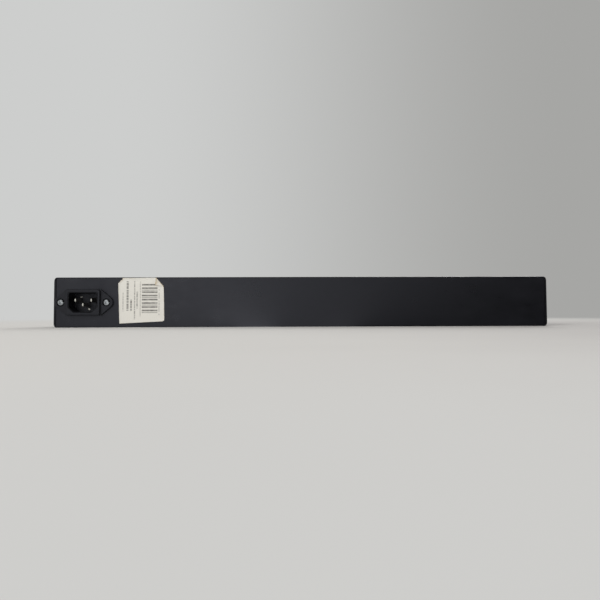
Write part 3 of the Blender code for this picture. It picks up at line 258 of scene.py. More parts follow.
def keep(mesh, name, place=None):
    """Put a built mesh in the scene, moved from the strip's middle or by a place of its own."""
    mesh.transform(Matrix.Translation(MIDDLE) if place is None else place)
    data = bpy.data.meshes.new(name)
    mesh.to_mesh(data)
    mesh.free()
    return link(name, data)


def band(mesh, low, high):
    """A closed band of faces between two rings of vertices."""
    for i in range(len(low)):
        j = (i + 1) % len(low)
        mesh.faces.new((low[i], low[j], high[j], high[i]))


def walls(mesh, rings):
    """Make rings of points into vertices, with a band from each ring to the next."""
    loops = [[mesh.verts.new(point) for point in ring] for ring in rings]
    for low, high in zip(loops, loops[1:]):
        band(mesh, low, high)
    return loops


def skin(name, bodies, degrees=32, place=None):
    """Closed bodies, each a list of rings from the strip's middle, as one object in its place."""
    mesh = bmesh.new()
    for rings in bodies:
        loops = walls(mesh, rings)
        mesh.faces.new(loops[0])
        mesh.faces.new(loops[-1])
    bmesh.ops.recalc_face_normals(mesh, faces=mesh.faces)
    return smooth(keep(mesh, name, place), degrees)


def cut(obj, tool, operation="DIFFERENCE"):
    """Cut a tool from an object, or join it on, and throw the tool away."""
    step = obj.modifiers.new("cut", "BOOLEAN")
    step.operation, step.object, step.solver = operation, tool, "EXACT"
    settle(obj)
    bpy.data.objects.remove(tool)
    return obj


def merge(body, part):
    """Put two closed meshes in one object as they are."""
    mesh = bmesh.new()
    for source in (body, part):
        mesh.from_mesh(source.data)
    mesh.to_mesh(body.data)
    mesh.free()
    bpy.data.objects.remove(part)
    return body


def soften(obj, width, segments=2, degrees=30):
    """Roll an object's sharp edges."""
    step = obj.modifiers.new("edges", "BEVEL")
    step.width, step.segments, step.limit_method = width, segments, "ANGLE"
    step.angle_limit = math.radians(degrees)
    step.use_clamp_overlap = True
    return smooth(settle(obj), 40)


def copy_of(node, name):
    """A copy of a CAD node with its loose triangles joined into whole faces."""
    mesh = bmesh.new()
    mesh.from_mesh(NODES[node].data)
    bmesh.ops.remove_doubles(mesh, verts=mesh.verts, dist=2e-6)
    bmesh.ops.dissolve_limit(
        mesh, angle_limit=math.radians(0.6), verts=mesh.verts, edges=mesh.edges
    )
    bmesh.ops.recalc_face_normals(mesh, faces=mesh.faces)
    return smooth(keep(mesh, name, AS_BUILT), 30)


def rounded(width, height, radius, cuts=(), steps=6):
    """A rectangle's outline with round corners, counter-clockwise from its right side.

    cuts gives the size of a straight cut for a corner: 0 top right, 1 top left, 2 and 3 below.
    """
    points = []
    for corner, (sx, sz) in enumerate(((1, 1), (-1, 1), (-1, -1), (1, -1))):
        size = dict(cuts).get(corner, radius)
        centre = (sx * (width / 2 - size), sz * (height / 2 - size))
        start = math.pi / 2 * corner
        for i in range(steps + 1):
            share = i / steps
            angle = start + share * math.pi / 2
            across, up = math.cos(angle), math.sin(angle)
            if corner in dict(cuts):
                first = (math.cos(start), math.sin(start))
                across = first[0] - share * (first[1] + first[0])
                up = first[1] + share * (first[0] - first[1])
            points.append((centre[0] + size * across, centre[1] + size * up))
    return points


def circle(radius, count=32):
    turns = [math.tau * i / count for i in range(count)]
    return [(radius * math.cos(a), radius * math.sin(a)) for a in turns]


def facing_y(points, y, x=0.0, z=0.0):
    return [(x + px, y, z + pz) for px, pz in points]


def facing_x(points, x, y=0.0, z=0.0):
    return [(x, y + py, z + pz) for py, pz in points]


def turned(profile, x=0.0, z=0.0, count=32):
    """Rings of a piece turned about a line along Y: profile lists (radius, y)."""
    return [facing_y(circle(r, count), y, x, z) for r, y in profile]


def done(piece, body, finish, slot, *replaced):
    """Give a finished piece its material and its body, and hide the CAD nodes that it stands for.

    Its normals lean to the larger faces, so a flat face stays flat up to its rolled edge.
    """
    even = piece.modifiers.new("even shading", "WEIGHTED_NORMAL")
    even.keep_sharp, even.weight = True, 90
    settle(piece)
    if finish is not None:
        paint(piece, finish)
    if replaced:
        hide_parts(*replaced)
    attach(piece, body)
    return piece


# ---------------- node tools


def feed(tree, node, inputs):
    """Give a node's inputs values, or link them to a socket or to a node's first output in use."""
    for key, value in inputs.items():
        if isinstance(value, bpy.types.Node):
            value = next(socket for socket in value.outputs if socket.enabled)
        if isinstance(value, bpy.types.NodeSocket):
            tree.links.new(value, node.inputs[key])
        else:
            node.inputs[key].default_value = value


def add(tree, kind, inputs=None, **settings):
    """Add a node with its settings and its inputs."""
    made = tree.nodes.new(kind)
    for key, value in settings.items():
        setattr(made, key, value)
    feed(tree, made, inputs or {})
    return made


def begin(name):
    """A new material, its node tree, its shader and the piece's own coordinates."""
    made = bpy.data.materials.new(name)
    made.use_nodes = True
    tree = made.node_tree
    place = add(tree, "ShaderNodeTexCoord").outputs["Object"]
    return made, tree, tree.nodes["Principled BSDF"], place


def per_mm(size):
    """Scale of a pattern whose features are this many millimetres across."""
    return 1 / (size * MM)


def new_tree(name, **sockets):
    """A Geometry Nodes tree with inputs of these names and kinds, and the inputs' own sockets."""
    tree = bpy.data.node_groups.new(name, "GeometryNodeTree")
    for label, kind in sockets.items():
        tree.interface.new_socket(label, in_out="INPUT", socket_type="NodeSocket" + kind)
    tree.interface.new_socket("Geometry", in_out="OUTPUT", socket_type="NodeSocketGeometry")
    return tree, add(tree, "NodeGroupInput").outputs


def close_tree(tree, geometry, material):
    """End a tree in Realize Instances and Set Material."""
    real = add(tree, "GeometryNodeRealizeInstances", {0: geometry})
    real = add(tree, "GeometryNodeSetMaterial", {"Geometry": real, "Material": material})
    add(tree, "NodeGroupOutput", {0: real})


def grow(name, tree, points=(), **values):
    """Run a tree on points from the strip's middle and keep its result as a plain mesh."""
    data = bpy.data.meshes.new(name)
    data.from_pydata([Vector(p) for p in points], [], [])
    made = link(name, data)
    step = made.modifiers.new("growth", "NODES")
    step.node_group = tree
    for socket in tree.interface.items_tree:
        if socket.in_out == "INPUT" and socket.name in values:
            step[socket.identifier] = values[socket.name]
    return settle(made)


@cache
def tree_row():
    """A piece repeated along X."""
    tree, given = new_tree(
        "row along the strip", Piece="Object", Count="Int", Pitch="Float", Material="Material"
    )
    step = add(tree, "ShaderNodeCombineXYZ", {"X": given["Pitch"]})
    line = add(
        tree, "GeometryNodeMeshLine", {"Count": given["Count"], "Offset": step}, mode="OFFSET"
    )
    piece = add(tree, "GeometryNodeObjectInfo", {"Object": given["Piece"]})
    row = add(
        tree, "GeometryNodeInstanceOnPoints",
        {"Points": line, "Instance": piece.outputs["Geometry"]},
    )
    close_tree(tree, row, given["Material"])
    return tree


@cache
def tree_screws():
    """A screw set on each point, driven to a chance angle."""
    tree, given = new_tree(
        "screws on points", Points="Geometry", Screw="Object", Aim="Vector", Seed="Int",
        Material="Material",
    )
    screw = add(tree, "GeometryNodeObjectInfo", {"Object": given["Screw"]})
    angle = add(
        tree, "FunctionNodeRandomValue", {2: 0.0, 3: math.pi / 2, "Seed": given["Seed"]},
        data_type="FLOAT",
    )
    turn = add(tree, "ShaderNodeCombineXYZ", {"Z": angle})
    aimed = add(
        tree, "GeometryNodeInstanceOnPoints",
        {
            "Points": given["Points"], "Instance": screw.outputs["Geometry"],
            "Rotation": given["Aim"],
        },
    )
    driven = add(
        tree, "GeometryNodeRotateInstances",
        {"Instances": aimed, "Rotation": turn, "Local Space": True},
    )
    close_tree(tree, driven, given["Material"])
    return tree


@cache
def tree_ridges():
    """Ridges set round a ring that faces along Y."""
    tree, given = new_tree(
        "ridges round a ring", Ridge="Object", Count="Int", Radius="Float", Place="Vector",
        Material="Material",
    )
    ring = add(
        tree, "GeometryNodeMeshCircle", {"Vertices": given["Count"], "Radius": given["Radius"]}
    )
    outwards = add(tree, "GeometryNodeInputPosition")
    aim = add(tree, "FunctionNodeAlignRotationToVector", {"Vector": outwards}, axis="X")
    ridge = add(tree, "GeometryNodeObjectInfo", {"Object": given["Ridge"]})
    row = add(
        tree, "GeometryNodeInstanceOnPoints",
        {"Points": ring, "Instance": ridge.outputs["Geometry"], "Rotation": aim},
    )
    stood = add(
        tree, "GeometryNodeTransform",
        {"Geometry": row, "Translation": given["Place"], "Rotation": (math.pi / 2, 0.0, 0.0)},
    )
    close_tree(tree, stood, given["Material"])
    return tree


@cache
def tree_thread():
    """A thread's crest: a round bead along a spiral about Y."""
    tree, given = new_tree(
        "thread", Radius="Float", Pitch="Float", Turns="Float", Place="Vector", Material="Material"
    )
    rise = add(tree, "ShaderNodeMath", {0: given["Pitch"], 1: given["Turns"]}, operation="MULTIPLY")
    bead = add(tree, "ShaderNodeMath", {0: given["Pitch"], 1: 0.36}, operation="MULTIPLY")
    spiral = add(
        tree, "GeometryNodeCurveSpiral",
        {
            "Resolution": 28, "Rotations": given["Turns"], "Start Radius": given["Radius"],
            "End Radius": given["Radius"], "Height": rise,
        },
    )
    profile = add(tree, "GeometryNodeCurvePrimitiveCircle", {"Resolution": 6, "Radius": bead})
    wound = add(
        tree, "GeometryNodeCurveToMesh",
        {"Curve": spiral, "Profile Curve": profile, "Fill Caps": True},
    )
    stood = add(
        tree, "GeometryNodeTransform",
        {"Geometry": wound, "Translation": given["Place"], "Rotation": (math.pi / 2, 0.0, 0.0)},
    )
    close_tree(tree, stood, given["Material"])
    return tree


# ---------------- materials


# The gloss of the coat and the mouldings is a little cool.
COOL_GLOSS = (0.87, 0.88, 1.0, 1.0)


def hues():
    return bpy.context.scene.strip_colours


def toned(base, share, lift=0.0):
    """A colour made lighter or darker by a share, and lifted towards white."""
    return (*(min(1.0, lift + share * c) for c in base[:3]), 1.0)


@cache
def powder_coat():
    """Satin black powder coat, baked on extruded aluminium.

    A fine orange peel breaks its soft sheen, handling leaves a grey haze in blotches, and single
    specks of dust lie on it. The peel is drawn at 0.8 mm, about twice its real size, so it shows.
    """
    coat, tree, shader, place = begin("satin_black_powder_coat")
    peel = add(tree, "ShaderNodeTexNoise", {"Vector": place, "Scale": per_mm(0.8), "Detail": 1.5})
    drawn = add(tree, "ShaderNodeMapping", {"Vector": place, "Scale": (0.6, 1.0, 1.0)})
    haze = add(
        tree, "ShaderNodeTexNoise",
        {"Vector": drawn, "Scale": per_mm(16), "Detail": 7.0, "Roughness": 0.68},
    )
    rubbed = add(tree, "ShaderNodeMapRange", {"Value": haze, 1: 0.40, 2: 0.70, 3: 0.0, 4: 0.75})
    specks = add(tree, "ShaderNodeTexVoronoi", {"Vector": place, "Scale": per_mm(3.6)})
    small = add(tree, "ShaderNodeMapRange", {"Value": specks, 1: 0.03, 2: 0.07, 3: 0.45, 4: 0.0})
    chance = add(tree, "ShaderNodeSeparateColor", {"Color": specks.outputs["Color"]})
    few = add(tree, "ShaderNodeMath", {0: chance, 1: 0.72}, operation="GREATER_THAN")
    dust = add(tree, "ShaderNodeMath", {0: small, 1: few}, operation="MULTIPLY")
    share = add(tree, "ShaderNodeMath", {0: rubbed, 1: dust}, operation="ADD", use_clamp=True)
    tone = add(tree, "ShaderNodeMix", {0: share, 6: hues().coat, 7: hues().haze}, data_type="RGBA")
    sheen = add(tree, "ShaderNodeMapRange", {"Value": haze, 1: 0.35, 2: 0.68, 3: 0.27, 4: 0.44})
    bump = add(tree, "ShaderNodeBump", {"Height": peel, "Strength": 0.3, "Distance": 0.1 * MM})
    feed(
        tree, shader,
        {"Base Color": tone, "Specular Tint": COOL_GLOSS, "Roughness": sheen, "Normal": bump},
    )
    return coat


def moulded(name, base, grain, rough, depth):
    """A moulded black plastic: spark-eroded grain of the mould, its sheen a little uneven."""
    made, tree, shader, place = begin(name)
    pits = add(tree, "ShaderNodeTexNoise", {"Vector": place, "Scale": per_mm(grain), "Detail": 3.0})
    wear = add(tree, "ShaderNodeTexNoise", {"Vector": place, "Scale": per_mm(9), "Detail": 4.0})
    lighter = toned(base, 1.9)
    share = add(tree, "ShaderNodeMapRange", {"Value": wear, 1: 0.4, 2: 0.75, 3: 0.0, 4: 0.6})
    tone = add(tree, "ShaderNodeMix", {0: share, 6: base, 7: lighter}, data_type="RGBA")
    sheen = add(
        tree, "ShaderNodeMapRange",
        {"Value": wear, 1: 0.3, 2: 0.7, 3: rough - 0.05, 4: rough + 0.07},
    )
    bump = add(tree, "ShaderNodeBump", {"Height": pits, "Strength": 0.25, "Distance": depth * MM})
    feed(
        tree, shader,
        {
            "Base Color": tone, "IOR": 1.5, "Specular IOR Level": 0.45, "Specular Tint": COOL_GLOSS,
            "Roughness": sheen, "Normal": bump,
        },
    )
    return made


@cache
def black_nylon():
    """Glass-filled nylon 66, injection moulded: satin, with a fine even grain of 0.35 mm."""
    return moulded("moulded_black_nylon", hues().nylon, 0.35, 0.40, 0.05)


@cache
def black_abs():
    """ABS, injection moulded in a textured mould: duller than the nylon, grain 0.5 mm."""
    return moulded("textured_black_abs", hues().abs, 0.5, 0.50, 0.09)


@cache
def red_polycarbonate():
    """Polycarbonate, polished mould: glossy and a little deep, with flow marks and finger wear."""
    made, tree, shader, place = begin("glossy_red_polycarbonate")
    flow = add(
        tree, "ShaderNodeTexNoise",
        {"Vector": place, "Scale": per_mm(6), "Detail": 3.0, "Distortion": 0.6},
    )
    deep = toned(hues().rocker, 0.72)
    tone = add(tree, "ShaderNodeMix", {0: flow, 6: deep, 7: hues().rocker}, data_type="RGBA")
    rub = add(tree, "ShaderNodeMapRange", {"Value": flow, 1: 0.35, 2: 0.7, 3: 0.16, 4: 0.30})
    feed(
        tree, shader,
        {
            "Base Color": tone, "IOR": 1.58, "Subsurface Weight": 0.08,
            "Subsurface Radius": (1.2 * MM, 0.2 * MM, 0.1 * MM), "Roughness": rub,
        },
    )
    return made


@cache
def marking_ink():
    """White ink filled into moulded marks: matt, slightly uneven."""
    made, tree, shader, place = begin("white_marking_ink")
    patch = add(tree, "ShaderNodeTexNoise", {"Vector": place, "Scale": per_mm(0.6), "Detail": 2.0})
    worn = toned(hues().marking, 0.8)
    tone = add(tree, "ShaderNodeMix", {0: patch, 6: worn, 7: hues().marking}, data_type="RGBA")
    feed(tree, shader, {"Base Color": tone, "Roughness": 0.6})
    return made


def metal(name, base, rough, grain, stretch):
    """A bare or plated metal: fine marks of its making, drawn out one way, and dull patches."""
    made, tree, shader, place = begin(name)
    drawn = add(tree, "ShaderNodeMapping", {"Vector": place, "Scale": stretch})
    marks = add(
        tree, "ShaderNodeTexNoise", {"Vector": drawn, "Scale": per_mm(grain), "Detail": 3.0}
    )
    patches = add(
        tree, "ShaderNodeTexNoise", {"Vector": place, "Scale": per_mm(2.5), "Detail": 3.0}
    )
    dull = toned(base, 0.74)
    share = add(tree, "ShaderNodeMapRange", {"Value": patches, 1: 0.35, 2: 0.7, 3: 0.0, 4: 0.8})
    tone = add(tree, "ShaderNodeMix", {0: share, 6: base, 7: dull}, data_type="RGBA")
    sheen = add(
        tree, "ShaderNodeMapRange",
        {"Value": marks, 1: 0.3, 2: 0.7, 3: rough - 0.07, 4: rough + 0.10},
    )
    bump = add(tree, "ShaderNodeBump", {"Height": marks, "Strength": 0.15, "Distance": 0.02 * MM})
    feed(tree, shader, {"Base Color": tone, "Metallic": 1.0, "Roughness": sheen, "Normal": bump})
    return made


@cache
def stamped_brass():
    """Half-hard brass strip, stamped: warm, satin, with rolling marks along the strip."""
    return metal("stamped_brass", hues().brass, 0.32, 0.25, (0.08, 1.0, 1.0))


@cache
def nickel_plate():
    """Nickel plate on brass: slightly warm, dull bright, with even fine marks."""
    return metal("nickel_plated_brass", hues().nickel, 0.28, 0.3, (1.0, 1.0, 1.0))


@cache
def zinc_plate():
    """Bright zinc plate on steel: cool, slightly milky patches from the passivation."""
    return metal("bright_zinc_plate", hues().zinc, 0.27, 0.4, (1.0, 1.0, 1.0))


def insulation(name, base, stripe=None):
    """Extruded PVC insulation: smooth and slightly waxy, with talc dust, striped where asked."""
    made, tree, shader, place = begin(name)
    talc = add(tree, "ShaderNodeTexNoise", {"Vector": place, "Scale": per_mm(1.6), "Detail": 3.0})
    pale = toned(base, 0.88, 0.12)
    share = add(tree, "ShaderNodeMapRange", {"Value": talc, 1: 0.45, 2: 0.75, 3: 0.0, 4: 0.7})
    tone = add(tree, "ShaderNodeMix", {0: share, 6: base, 7: pale}, data_type="RGBA")
    if stripe is not None:
        wave = add(
            tree, "ShaderNodeTexWave", {"Vector": place, "Scale": per_mm(18)},
            bands_direction="DIAGONAL",
        )
        half = add(
            tree, "ShaderNodeMath", {0: wave.outputs["Fac"], 1: 0.55}, operation="GREATER_THAN"
        )
        tone = add(tree, "ShaderNodeMix", {0: half, 6: tone, 7: stripe}, data_type="RGBA")
    feed(tree, shader, {"Base Color": tone, "Roughness": 0.42})
    return made


# Rules printed on the label, in millimetres from its lower left corner as seen: middle across,
# middle up, width, height, the length of one dash, and how dark the ink is.
PRINTED_RULES = (
    (4.4, 19.4, 0.9, 17.0, 0.9, 0.45),
    (8.4, 24.6, 1.8, 26.2, 1.3, 0.80),
    (11.5, 16.4, 1.5, 10.0, 1.1, 0.80),
    (14.6, 21.0, 1.1, 34.0, 1.0, 0.60),
    (16.8, 21.0, 1.3, 15.0, 1.2, 0.65),
    (19.6, 21.8, 1.0, 31.0, 0.8, 0.40),
    (36.2, 19.0, 0.9, 23.0, 2.9, 0.40),
)
BAR_BLOCK = (27.9, 22.1, 13.8, 26.4)
# The bars repeat at two steps in millimetres: the step, a bar's half share of it, how dark it is.
BAR_STEPS = ((3.3, 0.16, 0.9), (2.2, 0.2, 0.6))


@cache
def label_paper():
    """Uncoated label paper, printed: its fibres give a faint mottle, its edges have yellowed, and
    the same brown darkens its crease and its flap's lifted edge as painted shade.

    The ink of its plain rules and even bars has faded. All is drawn on the paper's own map, in
    millimetres.
    """
    made, tree, shader, _ = begin("printed_label_paper")
    across_up = add(tree, "ShaderNodeUVMap", uv_map="sheet")
    across, up = add(tree, "ShaderNodeSeparateXYZ", {0: across_up}).outputs[:2]

    def inside(value, middle, half, soft=0.07):
        """1 nearer to the middle than half, with an edge as soft as the ink's."""
        off = add(tree, "ShaderNodeMath", {0: value, 1: middle}, operation="SUBTRACT")
        off = add(tree, "ShaderNodeMath", {0: off}, operation="ABSOLUTE")
        return add(
            tree, "ShaderNodeMapRange",
            {"Value": off, 1: half - soft, 2: half + soft, 3: 1.0, 4: 0.0},
        )

    def patch(middle_across, middle_up, width, height):
        """1 inside a rectangle of the paper."""
        return add(
            tree, "ShaderNodeMath",
            {0: inside(across, middle_across, width / 2), 1: inside(up, middle_up, height / 2)},
            operation="MULTIPLY",
        )

    layers = []
    for middle_across, middle_up, width, height, dash, dark in PRINTED_RULES:
        rule = patch(middle_across, middle_up, width, height)
        along = add(tree, "ShaderNodeMath", {0: up, 1: 0.8 * dash}, operation="DIVIDE")
        along = add(tree, "ShaderNodeMath", {0: along, 1: 7.3 * middle_across}, operation="ADD")
        marks = add(
            tree, "ShaderNodeTexNoise", {"W": along, "Scale": 1.0, "Detail": 1.0},
            noise_dimensions="1D",
        )
        dashes = add(
            tree, "ShaderNodeMapRange", {"Value": marks, 1: 0.40, 2: 0.44, 3: 0.0, 4: dark}
        )
        layers.append((rule, dashes))
    block = patch(*BAR_BLOCK)
    for spacing, half, dark in BAR_STEPS:
        step = add(tree, "ShaderNodeMath", {0: up, 1: spacing}, operation="DIVIDE")
        step = add(tree, "ShaderNodeMath", {0: step}, operation="FRACT")
        row = add(
            tree, "ShaderNodeMath", {0: inside(step, 0.5, half, 0.03), 1: dark},
            operation="MULTIPLY",
        )
        layers.append((block, row))
    printed = 0.0
    for shape, dark in layers:
        layer = add(tree, "ShaderNodeMath", {0: shape, 1: dark}, operation="MULTIPLY")
        printed = add(tree, "ShaderNodeMath", {0: layer, 1: printed}, operation="MAXIMUM")

    fade = add(tree, "ShaderNodeTexNoise", {"Vector": across_up, "Scale": 0.35, "Detail": 4.0})
    faded = add(tree, "ShaderNodeMapRange", {"Value": fade, 1: 0.35, 2: 0.7, 3: 1.0, 4: 0.65})
    printed = add(tree, "ShaderNodeMath", {0: printed, 1: faded}, operation="MULTIPLY")

    fibres = add(
        tree, "ShaderNodeTexNoise",
        {"Vector": across_up, "Scale": 1.1, "Detail": 6.0, "Roughness": 0.7},
    )
    # The layer holds the real yellowing of the edges and torn corner, and the painted shade in the
    # crease and along the flap's lifted edge.
    edge = add(tree, "ShaderNodeAttribute", attribute_name="crease_shade_and_edge_wear")
    stain_and_crease_shade = add(tree, "ShaderNodeMath", {0: edge.outputs["Fac"], 1: 0.75}, operation="MULTIPLY")
    mottle = add(tree, "ShaderNodeMapRange", {"Value": fibres, 1: 0.35, 2: 0.8, 3: 0.0, 4: 0.22})
    stain_shade_and_mottle = add(tree, "ShaderNodeMath", {0: stain_and_crease_shade, 1: mottle}, operation="MAXIMUM")
    tone = add(
        tree, "ShaderNodeMix", {0: stain_shade_and_mottle, 6: hues().paper, 7: hues().age_and_crease_shade}, data_type="RGBA"
    )
    inked = add(tree, "ShaderNodeMix", {0: printed, 6: tone, 7: hues().ink}, data_type="RGBA")
    bump = add(tree, "ShaderNodeBump", {"Height": fibres, "Strength": 0.3, "Distance": 0.05 * MM})
    feed(tree, shader, {"Base Color": inked, "Roughness": 0.78, "Normal": bump})
    return made


# ---------------- pieces


class StripOperator:
    """What all of the strip's operators share."""

    bl_options = {"REGISTER", "UNDO"}


# The setting of a range that eases in and out at its ends.
SOFT = {"interpolation_type": "SMOOTHSTEP"}
# How bright gloss sees the background behind the strip: direction along X, share of its brightness.
GLOSS_SHARES = (
    (-0.50, 0.0), (-0.37, 0.0), (-0.31, 0.18), (-0.24, 0.95), (-0.17, 1.35), (-0.10, 1.15),
    (0.00, 1.10), (0.07, 1.15), (0.15, 2.30), (0.24, 2.85), (0.34, 1.55), (0.60, 0.90),
)


class STRIP_OT_stage(StripOperator, bpy.types.Operator):
    """Set up the camera, a pale floor and plain soft light"""

    bl_idname = "strip.stage"
    bl_label = "Stage"

    def execute(self, context):
        scene = context.scene
        settings, tones = scene.strip_stage, scene.strip_colours
        scene.view_settings.view_transform = "Standard"
        self.aim_camera(scene, settings)
        self.lay_floor(tones)
        self.light(scene, settings, tones)
        return {"FINISHED"}

    @staticmethod
    def aim_camera(scene, settings):
        data = bpy.data.cameras.new("camera")
        data.lens, data.sensor_width, data.shift_y = settings.lens, 36, settings.shift
        data.clip_start, data.clip_end = 0.01, 60
        camera = link("camera", data)
        level = Matrix(((-1, 0, 0), (0, 0, 1), (0, 1, 0))).to_4x4()
        camera.matrix_world = (
            Matrix.Translation(MIDDLE + Vector(settings.camera))
            @ Matrix.Rotation(settings.yaw, 4, "Z")
            @ level
            @ Matrix.Rotation(settings.pitch, 4, "X")
            @ Matrix.Rotation(-settings.roll, 4, "Z")
        )
        scene.camera = camera

    @staticmethod
    def grade(tree, way, tones, overhead=1.0):
        """The pale background's colour in a direction, and how much of it gloss sees there.

        It is light all round, but past the strip's front towards -X it is coloured darker as
        painted shade. Behind the strip that side is flagged off for gloss, so the black back keeps
        one darker end, and a flag overhead keeps the rolled top edges dark.
        """
        level = add(
            tree, "ShaderNodeVectorMath", {0: way, 1: (1.0, 1.0, 0.25)}, operation="MULTIPLY"
        )
        level = add(tree, "ShaderNodeVectorMath", {0: level}, operation="NORMALIZE")
        x, y = add(tree, "ShaderNodeSeparateXYZ", {0: level}).outputs[:2]
        side = add(tree, "ShaderNodeMapRange", {"Value": x, 1: -0.42, 2: 0.27}, **SOFT)
        past = add(tree, "ShaderNodeMapRange", {"Value": y, 1: -0.88, 2: -0.55}, **SOFT)
        light = add(tree, "ShaderNodeMath", {0: side, 1: past}, operation="MAXIMUM")
        tone = add(
            tree, "ShaderNodeMix", {0: light, 6: tones.backdrop_painted_shade, 7: tones.backdrop},
            data_type="RGBA",
        )
        gloss = add(tree, "ShaderNodeFloatCurve", {"Value": x})
        curve = gloss.mapping
        curve.clip_min_x, curve.clip_max_y = -1, 4
        points = curve.curves[0].points
        points[0].location, points[1].location = GLOSS_SHARES[0], GLOSS_SHARES[-1]
        for place, share in GLOSS_SHARES[1:-1]:
            points.new(place, share)
        curve.update()
        behind = add(tree, "ShaderNodeMapRange", {"Value": y, 1: 0.25, 2: 0.65}, **SOFT)
        share = add(tree, "ShaderNodeMix", {0: behind, 2: 1.0, 3: gloss}, data_type="FLOAT")
        z = add(tree, "ShaderNodeSeparateXYZ", {0: way}).outputs[2]
        above = add(
            tree, "ShaderNodeMapRange", {"Value": z, 1: 0.3, 2: 0.75, 3: 1.0, 4: overhead}, **SOFT
        )
        share = add(tree, "ShaderNodeMath", {0: share, 1: above}, operation="MULTIPLY")
        return tone, share

    def lay_floor(self, tones):
        mesh = bmesh.new()
        bmesh.ops.create_grid(mesh, x_segments=8, y_segments=8, size=20)
        floor = keep(mesh, "floor", AS_BUILT)
        made, tree, shader, place = begin("pale_floor")
        x, y = add(tree, "ShaderNodeSeparateXYZ", {0: place}).outputs[:2]
        near = add(
            tree, "ShaderNodeTexNoise", {"Vector": place, "Scale": per_mm(160), "Detail": 4.0}
        )
        # Towards -X, on the camera's side of the strip, the floor is coloured darker: painted
        # shade.
        lean = add(tree, "ShaderNodeMath", {0: near, 1: 0.12, 2: x}, operation="MULTIPLY_ADD")
        side = add(tree, "ShaderNodeMapRange", {"Value": lean, 1: -0.24, 2: 0.16}, **SOFT)
        ahead = add(tree, "ShaderNodeMapRange", {"Value": y, 1: -0.1, 2: -0.4}, **SOFT)
        side = add(tree, "ShaderNodeMath", {0: side, 1: ahead}, operation="MAXIMUM")
        tone = add(
            tree, "ShaderNodeMix", {0: side, 6: tones.floor_painted_shade, 7: tones.floor}, data_type="RGBA"
        )
        feed(tree, shader, {"Base Color": tone, "Roughness": 0.9, "Specular IOR Level": 0.1})
        studio = add(
            tree, "ShaderNodeVectorMath", {0: place, 1: (0.0, 0.6, 0.0)}, operation="SUBTRACT"
        )
        backdrop, _ = self.grade(tree, studio, tones)
        beyond = add(
            tree, "ShaderNodeVectorMath", {0: place, 1: (0.0, -0.15, 0.0)}, operation="SUBTRACT"
        )
        _, gloss = self.grade(tree, beyond, tones)
        back_side = add(tree, "ShaderNodeMapRange", {"Value": y, 1: -0.02, 2: 0.04}, **SOFT)
        gloss = add(tree, "ShaderNodeMix", {0: back_side, 2: 1.0, 3: gloss}, data_type="FLOAT")
        reach = add(tree, "ShaderNodeVectorMath", {0: place}, operation="LENGTH")
        far = add(tree, "ShaderNodeMapRange", {"Value": reach, 1: 0.3, 2: 0.8}, **SOFT)
        past = add(tree, "ShaderNodeMapRange", {"Value": y, 1: 0.0, 2: -0.3}, **SOFT)
        background = add(
            tree, "ShaderNodeMix", {0: past, 6: tones.backdrop, 7: backdrop}, data_type="RGBA"
        )
        # Far off, the floor turns into an emission of the background's colour. For gloss rays the
        # whole floor is an emission of the graded background: a painted reflection from a floor
        # that is no lamp.
        glow = add(tree, "ShaderNodeEmission", {"Color": background, "Strength": 1.0})
        mirrored = add(tree, "ShaderNodeEmission", {"Color": backdrop, "Strength": gloss})
        mixed = add(tree, "ShaderNodeMixShader", {0: far, 1: shader, 2: glow})
        rays = add(tree, "ShaderNodeLightPath")
        mixed = add(
            tree, "ShaderNodeMixShader", {0: rays.outputs["Is Glossy Ray"], 1: mixed, 2: mirrored}
        )
        feed(tree, tree.nodes["Material Output"], {"Surface": mixed})
        paint(floor, made)

    def light(self, scene, settings, tones):
        """The dome lights evenly, and eyes and gloss see the pale background."""
        world = bpy.data.worlds.new("studio")
        scene.world = world
        world.use_nodes = True
        tree = world.node_tree
        tree.nodes.clear()
        way = add(tree, "ShaderNodeTexCoord").outputs["Generated"]
        backdrop, gloss = self.grade(tree, way, tones, 0.3)
        rays = add(tree, "ShaderNodeLightPath")
        strength = add(
            tree, "ShaderNodeMix", {0: rays.outputs["Is Glossy Ray"], 2: 1.0, 3: gloss},
            data_type="FLOAT",
        )
        seen = rays.outputs["Is Camera Ray"]
        for kind in ("Is Glossy Ray", "Is Transmission Ray"):
            seen = add(
                tree, "ShaderNodeMath", {0: seen, 1: rays.outputs[kind]}, operation="MAXIMUM"
            )
        dome = add(tree, "ShaderNodeBackground", {"Color": (1, 1, 1, 1), "Strength": settings.dome})
        pale = add(tree, "ShaderNodeBackground", {"Color": backdrop, "Strength": strength})
        mixed = add(tree, "ShaderNodeMixShader", {0: seen, 1: dome, 2: pale})
        add(tree, "ShaderNodeOutputWorld", {"Surface": mixed})

        for name, place, size, power in (
            ("key_lamp", (1.5, 1.92, 1.25), 1.35, settings.key),
            ("fill_lamp", (-0.94, -1.96, 1.2), 1.5, settings.fill),
        ):
            data = bpy.data.lights.new(name, "AREA")
            data.shape, data.size, data.energy = "DISK", size, power
            lamp = link(name, data)
            lamp.visible_glossy = name != "key_lamp"
            lamp.location = place
            lamp.rotation_euler = (-Vector(place)).to_track_quat("-Z", "Y").to_euler()


class STRIP_OT_channel(StripOperator, bpy.types.Operator):
    """Dress the extruded channel in black powder coat"""

    bl_idname = "strip.channel"
    bl_label = "Channel"

    def execute(self, context):
        shell = soften(copy_of("housing_channel", "coated_channel"), 0.12 * MM, 1, 50)
        done(shell, "strip", powder_coat(), "black_coating", "housing_channel")
        return {"FINISHED"}


